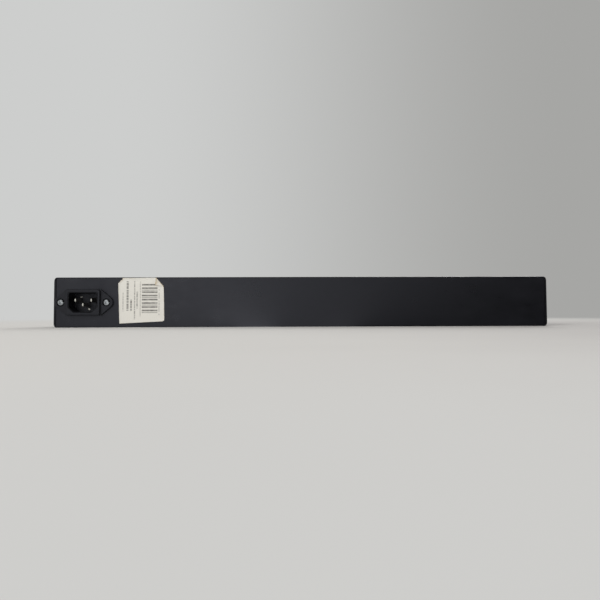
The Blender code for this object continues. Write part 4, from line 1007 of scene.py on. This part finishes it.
class STRIP_OT_end_caps(StripOperator, bpy.types.Operator):
    """Make the two moulded end caps with their countersunk screws"""

    bl_idname = "strip.end_caps"
    bl_label = "End caps"

    def execute(self, context):
        sizes = context.scene.strip_caps
        for name, side in SIDES:
            node = "end_cap_" + name
            done(self.make_cap(sizes, node, side), "strip", black_abs(), "black_abs", node)
        screw = cross_screw("cap_screw_pattern", sizes.head, 0.0, 1.45 * MM, 11 * MM)
        for name, side in SIDES:
            face = side * (CAD_BOX[1].x - 0.05 * MM)
            points = [
                MIDDLE + Vector((face, sizes.screw_y, z)) for z in (-sizes.screw_z, sizes.screw_z)
            ]
            row = grow(
                "end_cap_screws_" + name, tree_screws(), points, Screw=screw,
                Aim=(0.0, side * math.pi / 2, 0.0), Seed=3 + side, Material=zinc_plate(),
            )
            nodes = ["end_cap_%s_screw_%s" % (name, level) for level in ("low", "high")]
            done(smooth(row), "strip", None, "zinc_steel", *nodes)
        bpy.data.objects.remove(screw)
        return {"FINISHED"}

    @staticmethod
    def make_cap(sizes, node, side):
        """A plate with a rolled edge and a shallow panel, four tongues and two screw seats."""
        width = HIGHEST.y - LOWEST.y
        height = HIGHEST.z - LOWEST.z
        end = CAD_BOX[1].x
        inner = end - sizes.thickness
        rings = [facing_x(rounded(width - 0.2 * MM, height - 0.2 * MM, 1.0 * MM), side * inner)]
        rings.append(facing_x(rounded(width, height, sizes.corner), side * (inner + 0.1 * MM)))
        for i in range(7):
            turn = math.pi / 2 * i / 6
            shrink = 2 * sizes.edge * (1 - math.cos(turn))
            x = end - sizes.edge * (1 - math.sin(turn))
            size = rounded(width - shrink, height - shrink, sizes.corner - shrink / 4)
            rings.append(facing_x(size, side * x))
        for inset, sink in ((1.0, 0.0), (1.25, 0.05), (1.5, 0.2), (1.8, 0.25)):
            grow_in = 2 * (sizes.edge + inset * MM)
            panel = rounded(width - grow_in, height - grow_in, sizes.corner - 1.2 * MM)
            rings.append(facing_x(panel, side * (end - sink * MM)))
        cap = skin(node + "_moulding", [rings])
        tongue = rounded(8 * MM, 1.8 * MM, 0.4 * MM, steps=2)
        rise = height / 2 - 3.2 * MM
        stations = (side * (inner + 1 * MM), side * (inner - sizes.tongue))
        tongues = [
            [facing_x(tongue, x, y, z) for x in stations]
            for y in (-8.5 * MM, 14.5 * MM)
            for z in (-rise, rise)
        ]
        cap = cut(cap, skin("tongues", tongues), "UNION")
        seats = []
        for z in (-sizes.screw_z, sizes.screw_z):
            profile = (
                (sizes.head + 0.5 * MM, end + 1 * MM), (sizes.head + 0.5 * MM, end - 0.1 * MM),
                (sizes.head + 0.2 * MM, end - 0.3 * MM), (1.7 * MM, end - 1.6 * MM),
                (1.7 * MM, inner - 2 * MM),
            )
            seats.append([facing_x(circle(r), side * x, sizes.screw_y, z) for r, x in profile])
        return smooth(cut(cap, skin("screw_seats", seats)))


def cross_screw(name, head, dome, shank, reach):
    """A screw along -Z with its head's rim at the origin, domed or flat, with a cross recess."""
    profile = [(0.30 * head, dome), (0.55 * head, 0.86 * dome), (0.80 * head, 0.52 * dome)]
    profile += [(0.94 * head, 0.18 * dome), (head, 0.0), (head, -0.15 * MM)]
    profile += [
        (shank, -0.15 * MM - (head - shank)), (shank, -reach + shank), (0.3 * shank, -reach)
    ]
    rings = [[(x, y, z) for x, y in circle(r)] for r, z in profile]
    screw = skin(name, [rings], place=AS_BUILT)
    arm, web, depth = 0.62 * head, 0.16 * head, 0.75 * head
    corners = ((arm, web), (-arm, web), (-arm, -web), (arm, -web))
    for c, t in ((1, 0), (0, 1)):
        slot = [
            [(s * (c * x - t * y), s * (t * x + c * y), z) for x, y in corners]
            for z, s in ((dome + 1 * MM, 1.0), (dome - depth, 0.45))
        ]
        screw = cut(screw, skin("cross", [slot], place=AS_BUILT))
    return smooth(screw)


class STRIP_OT_inlet(StripOperator, bpy.types.Operator):
    """Make the mains inlet: flange, raised block, recess, pins and fixing screws"""

    bl_idname = "strip.inlet"
    bl_label = "Mains inlet"

    def execute(self, context):
        sizes = context.scene.strip_inlet
        seat = HIGHEST.y - MIDDLE.y + 0.3 * MM
        self.make_moulding(sizes, seat)
        self.make_pins(sizes, seat)
        self.make_stakes(sizes, seat)
        self.make_screws(sizes, seat)
        return {"FINISHED"}

    @staticmethod
    def make_moulding(sizes, seat):
        """The flange with its two ears, and the block whose recess runs through it."""
        x, top = sizes.station, seat + sizes.flange
        front = top + sizes.block_rise
        floor = front - sizes.recess_depth
        ear_x = sizes.screw_spacing / 2
        shoulder = Vector((sizes.block_width / 2, sizes.block_height / 2))
        to_shoulder = shoulder - Vector((ear_x, 0.0))
        lean = math.acos(sizes.ear / to_shoulder.length)
        tangent = math.atan2(to_shoulder.y, to_shoulder.x) - lean
        right = [
            (ear_x + sizes.ear * math.cos(a), sizes.ear * math.sin(a))
            for a in (tangent * (i / 14 - 1) for i in range(29))
        ]
        flange = right + [tuple(shoulder), (-shoulder.x, shoulder.y)]
        flange += [(-px, -pz) for px, pz in right] + [tuple(-shoulder), (shoulder.x, -shoulder.y)]
        plate = skin("flange", [[facing_y(flange, seat, x), facing_y(flange, top, x)]])
        hollow = rounded(sizes.recess_width + 2 * MM, sizes.recess_height + 2 * MM, 1.5 * MM)
        holes = [[facing_y(hollow, y, x) for y in (seat - 2 * MM, top + 2 * MM)]]
        for side in (-1, 1):
            profile = (
                (1.8 * MM, seat - 2 * MM), (1.8 * MM, top - 1.4 * MM),
                (sizes.head + 0.35 * MM, top - 0.75 * MM), (sizes.head + 0.9 * MM, top - 0.25 * MM),
                (sizes.head + 0.9 * MM, top + 2 * MM),
            )
            holes.append(turned(profile, x + side * ear_x))
        plate = soften(cut(plate, skin("flange_holes", holes)), 0.28 * MM, 3, 40)

        width, height = sizes.block_width - 0.6 * MM, sizes.block_height - 0.6 * MM
        cuts = ((2, sizes.recess_cut), (3, sizes.recess_cut))
        roll = 0.45 * MM

        def block(y, shrink=0.0):
            return facing_y(rounded(width - 2 * shrink, height - 2 * shrink, 1.5 * MM), y, x)

        def recess(y, growth):
            wider = [(corner, size + 0.586 * growth) for corner, size in cuts]
            shape = rounded(
                sizes.recess_width + 2 * growth, sizes.recess_height + 2 * growth, 1.5 * MM, wider
            )
            return facing_y(shape, y, x)

        shell = rounded(sizes.recess_width + 2.8 * MM, sizes.recess_height + 2.8 * MM, 1.5 * MM)
        rings = [facing_y(shell, y, x) for y in (floor - SHELL, seat + 0.8 * MM)]
        rings += [block(seat + 0.8 * MM)]
        rings += [
            block(front - roll * (1 - math.sin(t)), roll * (1 - math.cos(t)))
            for t in (math.pi / 8 * i for i in range(5))
        ]
        lead = sizes.lead_in
        rings += [
            recess(front, lead + 0.18 * MM), recess(front - 0.06 * MM, lead + 0.04 * MM),
            recess(front - 0.2 * MM, lead - 0.12 * MM), recess(front - lead, 0.06 * MM),
            recess(front - lead - 0.4 * MM, 0.0), recess(floor + 0.5 * MM, 0.0),
            recess(floor + 0.12 * MM, -0.14 * MM), recess(floor, -0.5 * MM),
        ]
        body = skin("recessed_block", [rings], 34)
        steps = [
            (rounded(w * MM, h * MM, 0.5 * MM, steps=3), floor + rise * MM)
            for w, h, rise in ((3.4, 5.4, -1.0), (3.4, 5.4, 0.7), (3.0, 5.0, 0.9))
        ]
        collars = [
            [facing_y(shape, y, x + across, up) for shape, y in steps]
            for across, up in pin_places(sizes)
        ]
        collar = skin("pin_collars", collars)
        for part in (plate, collar):
            body = merge(body, part)
        body.name = "inlet_moulding"
        done(body, "strip", black_nylon(), "black_nylon", "inlet_body")

    @staticmethod
    def make_pins(sizes, seat):
        """Flat pins with rolled edges and rounded tips, and their blades behind the moulding."""
        front = seat + sizes.flange + sizes.block_rise
        back = front - sizes.recess_depth - SHELL
        names = ("inlet_pin_live", "inlet_pin_neutral", "inlet_pin_earth")
        for name, (across, up), below in zip(names, pin_places(sizes), (2.2, 2.2, 1.0)):
            tip = front - below * MM
            steps = ((0.0, 0.40), (0.10, 0.56), (0.35, 0.74), (0.8, 0.90), (1.4, 0.98), (2.0, 1.0))
            place, rings = (sizes.station + across, up), []
            for depth, share in steps:
                shape = rounded(2 * MM * share, 4 * MM * share, 0.35 * MM * share, steps=3)
                rings.append(facing_y(shape, tip - depth * MM, *place))
            shape = rounded(2 * MM, 4 * MM, 0.35 * MM, steps=3)
            rings.append(facing_y(shape, back, *place))
            blade = [
                facing_y(rounded(0.8 * MM * w, 6.3 * MM * w, 0.1 * MM, steps=3), y, *place)
                for w, y in ((1.0, back), (1.0, back - 7 * MM), (0.72, back - 8 * MM))
            ]
            done(skin(name + "_blade", [rings, blade], 40), "strip", nickel_plate(), "nickel", name)

    @staticmethod
    def make_stakes(sizes, seat):
        """Two small dull rivet heads on the floor of the recess."""
        floor = seat + sizes.flange + sizes.block_rise - sizes.recess_depth
        profile = ((1.05, -0.5), (1.05, 0.3), (0.98, 0.42), (0.7, 0.50), (0.35, 0.54), (0.1, 0.55))
        heads = [
            turned(
                [(r * MM, floor + y * MM) for r, y in profile], sizes.station + dx * MM, dz * MM, 20
            )
            for dx, dz in ((6.5, 4.9), (-0.7, -6.0))
        ]
        done(skin("recess_rivets", heads, 40), "strip", nickel_plate(), "nickel")

    @staticmethod
    def make_screws(sizes, seat):
        top = seat + sizes.flange
        screw = cross_screw("inlet_screw_pattern", sizes.head, 0.5 * MM, 1.5 * MM, 10 * MM)
        points = [
            MIDDLE + Vector((sizes.station + side * sizes.screw_spacing / 2, top - 0.15 * MM, 0.0))
            for side in (-1, 1)
        ]
        pair = grow(
            "inlet_screws", tree_screws(), points, Screw=screw, Aim=(-math.pi / 2, 0.0, 0.0),
            Seed=6, Material=zinc_plate(),
        )
        bpy.data.objects.remove(screw)
        done(smooth(pair), "strip", None, "zinc_steel", "inlet_screw_left", "inlet_screw_right")


# How far the inlet's shell reaches behind the floor of its recess.
SHELL = 3.6 * MM


def pin_places(sizes):
    """Across and up from the inlet's middle: live, neutral, earth."""
    return (
        (sizes.pin_spread, sizes.pin_offset), (-sizes.pin_spread, sizes.pin_offset),
        (0.0, -sizes.pin_offset),
    )


# The label's outline in millimetres from the strip's middle: along the strip and up, clockwise as
# seen from behind, from the torn corner's top.
LABEL_OUTLINE = (
    (158.5, 21.55), (129.6, 21.75), (122.8, 14.1), (122.1, -15.3), (122.5, -16.4), (123.6, -16.9),
    (161.6, -18.8), (162.9, 16.8),
)
FOLDED_CORNER = (122.7, 21.9)


class STRIP_OT_label(StripOperator, bpy.types.Operator):
    """Make the paper label with its torn and its folded corner"""

    bl_idname = "strip.label"
    bl_label = "Label"

    def execute(self, context):
        sizes = context.scene.strip_label
        label = merge(self.make_sheet(sizes), self.make_flap(sizes))
        label.name = "paper_label"
        done(label, "strip", label_paper(), "label_paper", "rear_label")
        return {"FINISHED"}

    @staticmethod
    def face(z):
        """Where the channel's back is at this height: flat, then round its edge."""
        half = HIGHEST.y - MIDDLE.y
        over = abs(z) - (HIGHEST.z - MIDDLE.z - 1 * MM)
        if over <= 0:
            return half
        over = min(over, 0.95 * MM)
        return half - 1 * MM + math.sqrt((1 * MM) ** 2 - over**2)

    def make_sheet(self, sizes):
        """A sheet of small squares cut to the outline, laid on the back and curled at its edges."""
        corners = [Vector((x * MM, z * MM)) for x, z in LABEL_OUTLINE]
        lowest = Vector((min(c.x for c in corners), min(c.y for c in corners)))
        highest = Vector((max(c.x for c in corners), max(c.y for c in corners)))
        middle, reach = (lowest + highest) / 2, max(highest - lowest) / 2 + 1 * MM
        mesh = bmesh.new()
        count = int(2 * reach / sizes.grain)
        bmesh.ops.create_grid(mesh, x_segments=count, y_segments=count, size=reach)
        for vert in mesh.verts:
            vert.co = Vector((vert.co.x + middle.x, 0.0, vert.co.y + middle.y))
        sides = list(zip(corners, corners[1:] + corners[:1]))
        for start, end in sides:
            along = (end - start).normalized()
            out = Vector((-along.y, along.x))
            if out.dot(middle - start) > 0:
                out = -out
            bmesh.ops.bisect_plane(
                mesh, geom=mesh.verts[:] + mesh.edges[:] + mesh.faces[:],
                plane_co=(start.x, 0.0, start.y), plane_no=(out.x, 0.0, out.y), clear_outer=True,
            )
        left, low = 163.0 * MM, -19.0 * MM
        wear = lay_map(mesh, lambda co: ((left - co.x) / MM, (co.z - low) / MM))
        tear_start, tear_end = sides[-1]
        fold_start, fold_end = sides[1]
        for vert in mesh.verts:
            flat = Vector((vert.co.x, vert.co.z))
            gap = min(distance(flat, *side) for side in sides)
            ripple = noise.noise(Vector((vert.co.x, sizes.seed * 0.1, vert.co.z)) / (9 * MM))
            edge = max(0.0, 1 - gap / (2.4 * MM))
            fold = max(0.0, 1 - distance(flat, fold_start, fold_end) / (1.1 * MM))
            grime = noise.noise(Vector((vert.co.x, 3.0, vert.co.z)) / (2.5 * MM))
            torn = max(0.0, 1 - distance(flat, tear_start, tear_end) / (2.2 * MM))
            torn *= 0.6 + 0.8 * grime
            # Yellowed edges and the grimy torn edge are wear; the darkening along the crease is
            # painted shade.
            vert[wear] = min(1.0, 0.25 * edge * edge * (1 + 1.4 * grime) + 0.9 * fold + 0.6 * torn)
            if distance(flat, tear_start, tear_end) < 0.02 * MM:
                ragged = noise.noise(Vector((vert.co.x, 0.0, vert.co.z)) / (0.9 * MM))
                vert.co += (0.35 * MM * ragged) * Vector((1, 0, 1))
            rise = 0.05 * MM + sizes.lift * edge * edge * (0.5 + ripple) + 0.06 * MM * (1 + ripple)
            rise += 0.25 * MM * fold * fold
            vert.co.y = self.face(vert.co.z) + max(0.03 * MM, rise)
        return thicken(mesh, "label_sheet", sizes.paper)

    def make_flap(self, sizes):
        """The corner that is folded over on to the sheet, its tip a little raised."""
        top, side = (Vector(LABEL_OUTLINE[i]) for i in (1, 2))
        corner = Vector(FOLDED_CORNER)
        crease = (side - top).normalized()
        foot = top + crease * (corner - top).dot(crease)
        tip = foot + 0.96 * (foot - corner)
        rows, points, faces = 12, [], []
        for i in range(rows + 1):
            for j in range(i + 1):
                share = i / rows
                start, end = tip.lerp(top, share), tip.lerp(side, share)
                flat = (start.lerp(end, j / i) if i else tip) * MM
                rise = 0.35 * MM + 0.55 * MM * math.sin(math.pi * min(1.0, (1 - share) * 0.62))
                points.append((flat.x, self.face(flat.y) + rise, flat.y))
        for i in range(rows):
            first, below = i * (i + 1) // 2, (i + 1) * (i + 2) // 2
            for j in range(i + 1):
                faces.append((first + j, below + j, below + j + 1))
                if j < i:
                    faces.append((first + j, below + j + 1, first + j + 1))
        mesh = bmesh.new()
        verts = [mesh.verts.new(p) for p in points]
        for face in faces:
            mesh.faces.new([verts[i] for i in face])
        wear = lay_map(mesh, lambda co: (-20 + co.x / MM, -80 + co.z / MM))
        for vert in mesh.verts:
            grime = noise.noise(vert.co / (2.2 * MM))
            gap = distance(Vector((vert.co.x, vert.co.z)), tip * MM, top * MM)
            # Darker along the flap's edge from its tip to the crease's top: painted shade of the
            # lifted edge.
            dark = max(0.0, 1 - gap / (1.5 * MM))
            vert[wear] = max(0.0, min(1.0, 0.3 + 0.4 * grime + 0.9 * dark))
        return thicken(mesh, "label_flap", sizes.paper)


def lay_map(mesh, place):
    """Map a paper's mesh by a rule for its points, and give it a layer for its wear and painted
    shade.
    """
    layer = mesh.loops.layers.uv.new("sheet")
    for face in mesh.faces:
        for loop in face.loops:
            loop[layer].uv = place(loop.vert.co)
    return mesh.verts.layers.float.new("crease_shade_and_edge_wear")


def thicken(mesh, name, thickness):
    """Keep a paper's mesh with its faces to the back, as thick as the paper is."""
    paper = keep(mesh, name)
    if paper.data.polygons[0].normal.y < 0:
        paper.data.flip_normals()
    step = paper.modifiers.new("paper", "SOLIDIFY")
    step.thickness, step.offset = thickness, 1.0
    return smooth(settle(paper), 60)


def distance(point, start, end):
    """From a point to a line's piece, in the plane."""
    along = end - start
    share = max(0.0, min(1.0, (point - start).dot(along) / along.length_squared))
    return (point - start - share * along).length


class STRIP_OT_outlets(StripOperator, bpy.types.Operator):
    """Make the row of outlets with rolled edges"""

    bl_idname = "strip.outlets"
    bl_label = "Outlets"

    def execute(self, context):
        sizes = context.scene.strip_outlets
        nodes = ["outlet_%d" % number for number in range(1, sizes.count + 1)]
        pattern = soften(copy_of(nodes[-1], "outlet_pattern"), sizes.edge, 2, 40)
        row = grow(
            "outlet_row", tree_row(), Piece=pattern, Count=sizes.count, Pitch=sizes.pitch,
            Material=black_nylon(),
        )
        bpy.data.objects.remove(pattern)
        done(row, "strip", None, "black_nylon", *nodes)
        return {"FINISHED"}


class STRIP_OT_plates(StripOperator, bpy.types.Operator):
    """Roll the edges of the blank plate and the control plate"""

    bl_idname = "strip.plates"
    bl_label = "Plates"

    def execute(self, context):
        for node in ("blank_plate", "control_plate"):
            plate = soften(copy_of(node, node + "_moulding"), 0.3 * MM, 2, 40)
            done(plate, "strip", black_nylon(), "black_nylon", node)
        return {"FINISHED"}


class STRIP_OT_switch(StripOperator, bpy.types.Operator):
    """Make the switch's bezel, its dished rocker and the rocker's marks"""

    bl_idname = "strip.switch"
    bl_label = "Rocker switch"

    def execute(self, context):
        sizes = context.scene.strip_controls
        bezel = soften(copy_of("switch_body", "switch_bezel"), 0.3 * MM, 2, 40)
        done(bezel, "strip", black_nylon(), "black_nylon", "switch_body")
        pivot_y, tilt = -20.1 * MM, math.radians(10)
        place = Matrix.Translation(MIDDLE + Vector((sizes.switch, pivot_y, 0.0)))
        place @= Matrix.Rotation(tilt, 4, "X")
        self.make_rocker(sizes, place)
        self.make_marks(sizes, place)
        return {"FINISHED"}

    @staticmethod
    def dish(sizes, z):
        """How far the rocker's face stands off its pivot: least in the middle, most at its ends."""
        share = abs(z) / sizes.rocker_half
        return 5.0 * MM + 2.13 * MM * (share**1.25 * 0.92 + 0.08 * share**4)

    def make_rocker(self, sizes, place):
        half = sizes.rocker_half
        front = [(-self.dish(sizes, z), z) for z in (half * (i / 16 - 1) for i in range(33))]
        section = front + [
            (-2.0 * MM, half), (2.5 * MM, 7 * MM), (2.5 * MM, -7 * MM), (-2.0 * MM, -half)
        ]
        wide = sizes.rocker_width / 2
        rocker = skin("rocker_cap", [[facing_x(section, x) for x in (-wide, wide)]], place=place)
        rocker = soften(rocker, sizes.rocker_edge, 3, 55)
        pin = skin(
            "trunnion", [[facing_x(circle(1.5 * MM), x) for x in (-10.7 * MM, 10.7 * MM)]],
            place=place,
        )
        rocker = merge(rocker, pin)
        done(rocker, "rocker", red_polycarbonate(), "red_rocker", "switch_rocker")

    def make_marks(self, sizes, place):
        """A bar and a ring filled into the rocker's two halves."""
        mesh = bmesh.new()

        def sheets(shape):
            """A shape's outline just over the rocker's face, and just under it."""
            return [
                [mesh.verts.new((x, -self.dish(sizes, z) - lift, z)) for x, z in shape]
                for lift in (0.03 * MM, -0.12 * MM)
            ]

        middle, wide = 0.58 * sizes.rocker_half, 0.45 * MM
        for level in range(4):
            low, high = (middle + (end / 2 - 1) * 1.8 * MM for end in (level, level + 1))
            top, bottom = sheets([(wide, low), (wide, high), (-wide, high), (-wide, low)])
            mesh.faces.new(top)
            mesh.faces.new(bottom)
            band(mesh, top, bottom)
        ring = [[(x, z - middle) for x, z in circle(radius * MM)] for radius in (1.9, 1.15)]
        (top, bottom), (inner_top, inner_bottom) = (sheets(shape) for shape in ring)
        band(mesh, top, inner_top)
        band(mesh, bottom, inner_bottom)
        band(mesh, inner_top, inner_bottom)
        band(mesh, top, bottom)
        bmesh.ops.remove_doubles(mesh, verts=mesh.verts, dist=1e-6)
        bmesh.ops.recalc_face_normals(mesh, faces=mesh.faces)
        marks = smooth(keep(mesh, "rocker_marks", place))
        done(marks, "rocker", marking_ink(), "red_rocker")


class STRIP_OT_breaker(StripOperator, bpy.types.Operator):
    """Make the breaker's threaded neck, ridged nut and reset button"""

    bl_idname = "strip.breaker"
    bl_label = "Breaker"

    def execute(self, context):
        sizes = context.scene.strip_controls
        x = sizes.breaker
        nut_back, nut_front, neck_front = -22.7 * MM, -25.1 * MM, -26.4 * MM
        body = soften(copy_of("breaker_body", "breaker_case"), 0.15 * MM, 2, 40)
        done(body, "strip", black_nylon(), "black_nylon", "breaker_body")
        radius, hole = sizes.nut - 0.45 * MM, sizes.neck + 0.3 * MM
        profile = (
            (hole, nut_back), (radius, nut_back), (radius, nut_front + 0.7 * MM),
            (radius - 0.15 * MM, nut_front + 0.3 * MM), (radius - 0.5 * MM, nut_front + 0.05 * MM),
            (radius - 0.9 * MM, nut_front), (hole + 0.35 * MM, nut_front),
            (hole, nut_front + 0.35 * MM), (hole, nut_back),
        )
        nut = self.ring("nut_ring", turned(profile, x, 0.0, 72))
        ridge = rounded(0.9 * MM, 1.1 * MM, 0.35 * MM, steps=3)
        pattern = skin(
            "ridge_pattern", [[[(px, pz, y) for px, pz in ridge] for y in (-1.0 * MM, 1.0 * MM)]],
            place=AS_BUILT,
        )
        pattern = soften(pattern, 0.2 * MM, 2, 50)
        ridges = grow(
            "nut_ridges", tree_ridges(), Ridge=pattern, Count=sizes.ridges,
            Radius=radius - 0.05 * MM,
            Place=tuple(MIDDLE + Vector((x, (nut_back + nut_front) / 2 + 0.15 * MM, 0.0))),
            Material=black_nylon(),
        )
        bpy.data.objects.remove(pattern)
        nut = merge(nut, smooth(ridges))
        nut.name = "breaker_grip_nut"
        done(nut, "strip", black_nylon(), "black_nylon", "breaker_nut")

        thread = grow(
            "neck_thread", tree_thread(), Radius=sizes.neck - 0.1 * MM, Pitch=sizes.pitch,
            Turns=(nut_front - neck_front + 0.2 * MM) / sizes.pitch,
            Place=tuple(MIDDLE + Vector((x, nut_front + 0.3 * MM, 0.0))), Material=black_nylon(),
        )
        done(smooth(thread), "strip", None, "black_nylon")

        tip = neck_front - 2.4 * MM
        profile = (
            (sizes.button, neck_front + 12.6 * MM), (sizes.button, tip + 0.8 * MM),
            (sizes.button - 0.08 * MM, tip + 0.35 * MM), (sizes.button - 0.4 * MM, tip + 0.05 * MM),
            (sizes.button - 0.75 * MM, tip), (sizes.button - 1.1 * MM, tip + 0.12 * MM),
            (0.3 * MM, tip + 0.28 * MM),
        )
        button = skin("reset_plunger", [turned(profile, x, 0.0, 48)], 40)
        done(button, "button", black_nylon(), "black_nylon", "reset_button")
        return {"FINISHED"}

    @staticmethod
    def ring(name, rings):
        """A turned ring whose profile closes on itself."""
        mesh = bmesh.new()
        walls(mesh, rings)
        bmesh.ops.remove_doubles(mesh, verts=mesh.verts, dist=1e-7)
        bmesh.ops.recalc_face_normals(mesh, faces=mesh.faces)
        return smooth(keep(mesh, name), 40)


class STRIP_OT_inside(StripOperator, bpy.types.Operator):
    """Give the bars, blades, nuts, lugs and wires inside their materials"""

    bl_idname = "strip.inside"
    bl_label = "Inside"

    def execute(self, context):
        tones = context.scene.strip_colours
        finishes = {
            "brown_wire": insulation("brown_pvc_insulation", tones.brown),
            "blue_wire": insulation("blue_pvc_insulation", tones.blue),
            "green_wire": insulation("green_yellow_pvc_insulation", tones.green, tones.yellow),
            "brass": stamped_brass(), "nickel": nickel_plate(), "zinc_steel": zinc_plate(),
            "black_nylon": black_nylon(),
        }
        for row in frame["record"]["subparts"]:
            node = NODES[row["node"]]
            if not node.hide_render:
                paint(node, finishes[row["material_slot"]])
        return {"FINISHED"}


# ---------------- panel and registration


class STRIP_PT_panel(bpy.types.Panel):
    """The strip's operators and settings"""

    bl_idname = "STRIP_PT_panel"
    bl_label = "Power strip"
    bl_space_type = "VIEW_3D"
    bl_region_type = "UI"
    bl_category = "Power strip"

    def draw(self, context):
        for operator, group in PANEL_ROWS:
            box = self.layout.box()
            box.operator(operator.bl_idname)
            settings = getattr(context.scene, group, None)
            if settings is not None:
                for name in settings.__annotations__:
                    box.prop(settings, name)


GROUPS = (
    ("strip_colours", StripColours),
    ("strip_stage", StageSettings),
    ("strip_caps", CapSizes),
    ("strip_inlet", InletSizes),
    ("strip_label", LabelSizes),
    ("strip_outlets", OutletSizes),
    ("strip_controls", ControlSizes),
)
PANEL_ROWS = (
    (STRIP_OT_stage, "strip_stage"),
    (STRIP_OT_channel, "strip_colours"),
    (STRIP_OT_end_caps, "strip_caps"),
    (STRIP_OT_inlet, "strip_inlet"),
    (STRIP_OT_label, "strip_label"),
    (STRIP_OT_outlets, "strip_outlets"),
    (STRIP_OT_plates, ""),
    (STRIP_OT_switch, "strip_controls"),
    (STRIP_OT_breaker, ""),
    (STRIP_OT_inside, ""),
)


def register():
    for name, group in GROUPS:
        bpy.utils.register_class(group)
        setattr(bpy.types.Scene, name, bpy.props.PointerProperty(type=group))
    for operator, _ in PANEL_ROWS:
        bpy.utils.register_class(operator)
    bpy.utils.register_class(STRIP_PT_panel)


def unregister():
    bpy.utils.unregister_class(STRIP_PT_panel)
    for operator, _ in reversed(PANEL_ROWS):
        bpy.utils.unregister_class(operator)
    for name, group in reversed(GROUPS):
        delattr(bpy.types.Scene, name)
        bpy.utils.unregister_class(group)


def main():
    register()
    for operator, _ in PANEL_ROWS:
        area, name = operator.bl_idname.split(".")
        getattr(getattr(bpy.ops, area), name)()


if __name__ == "__main__":
    main()
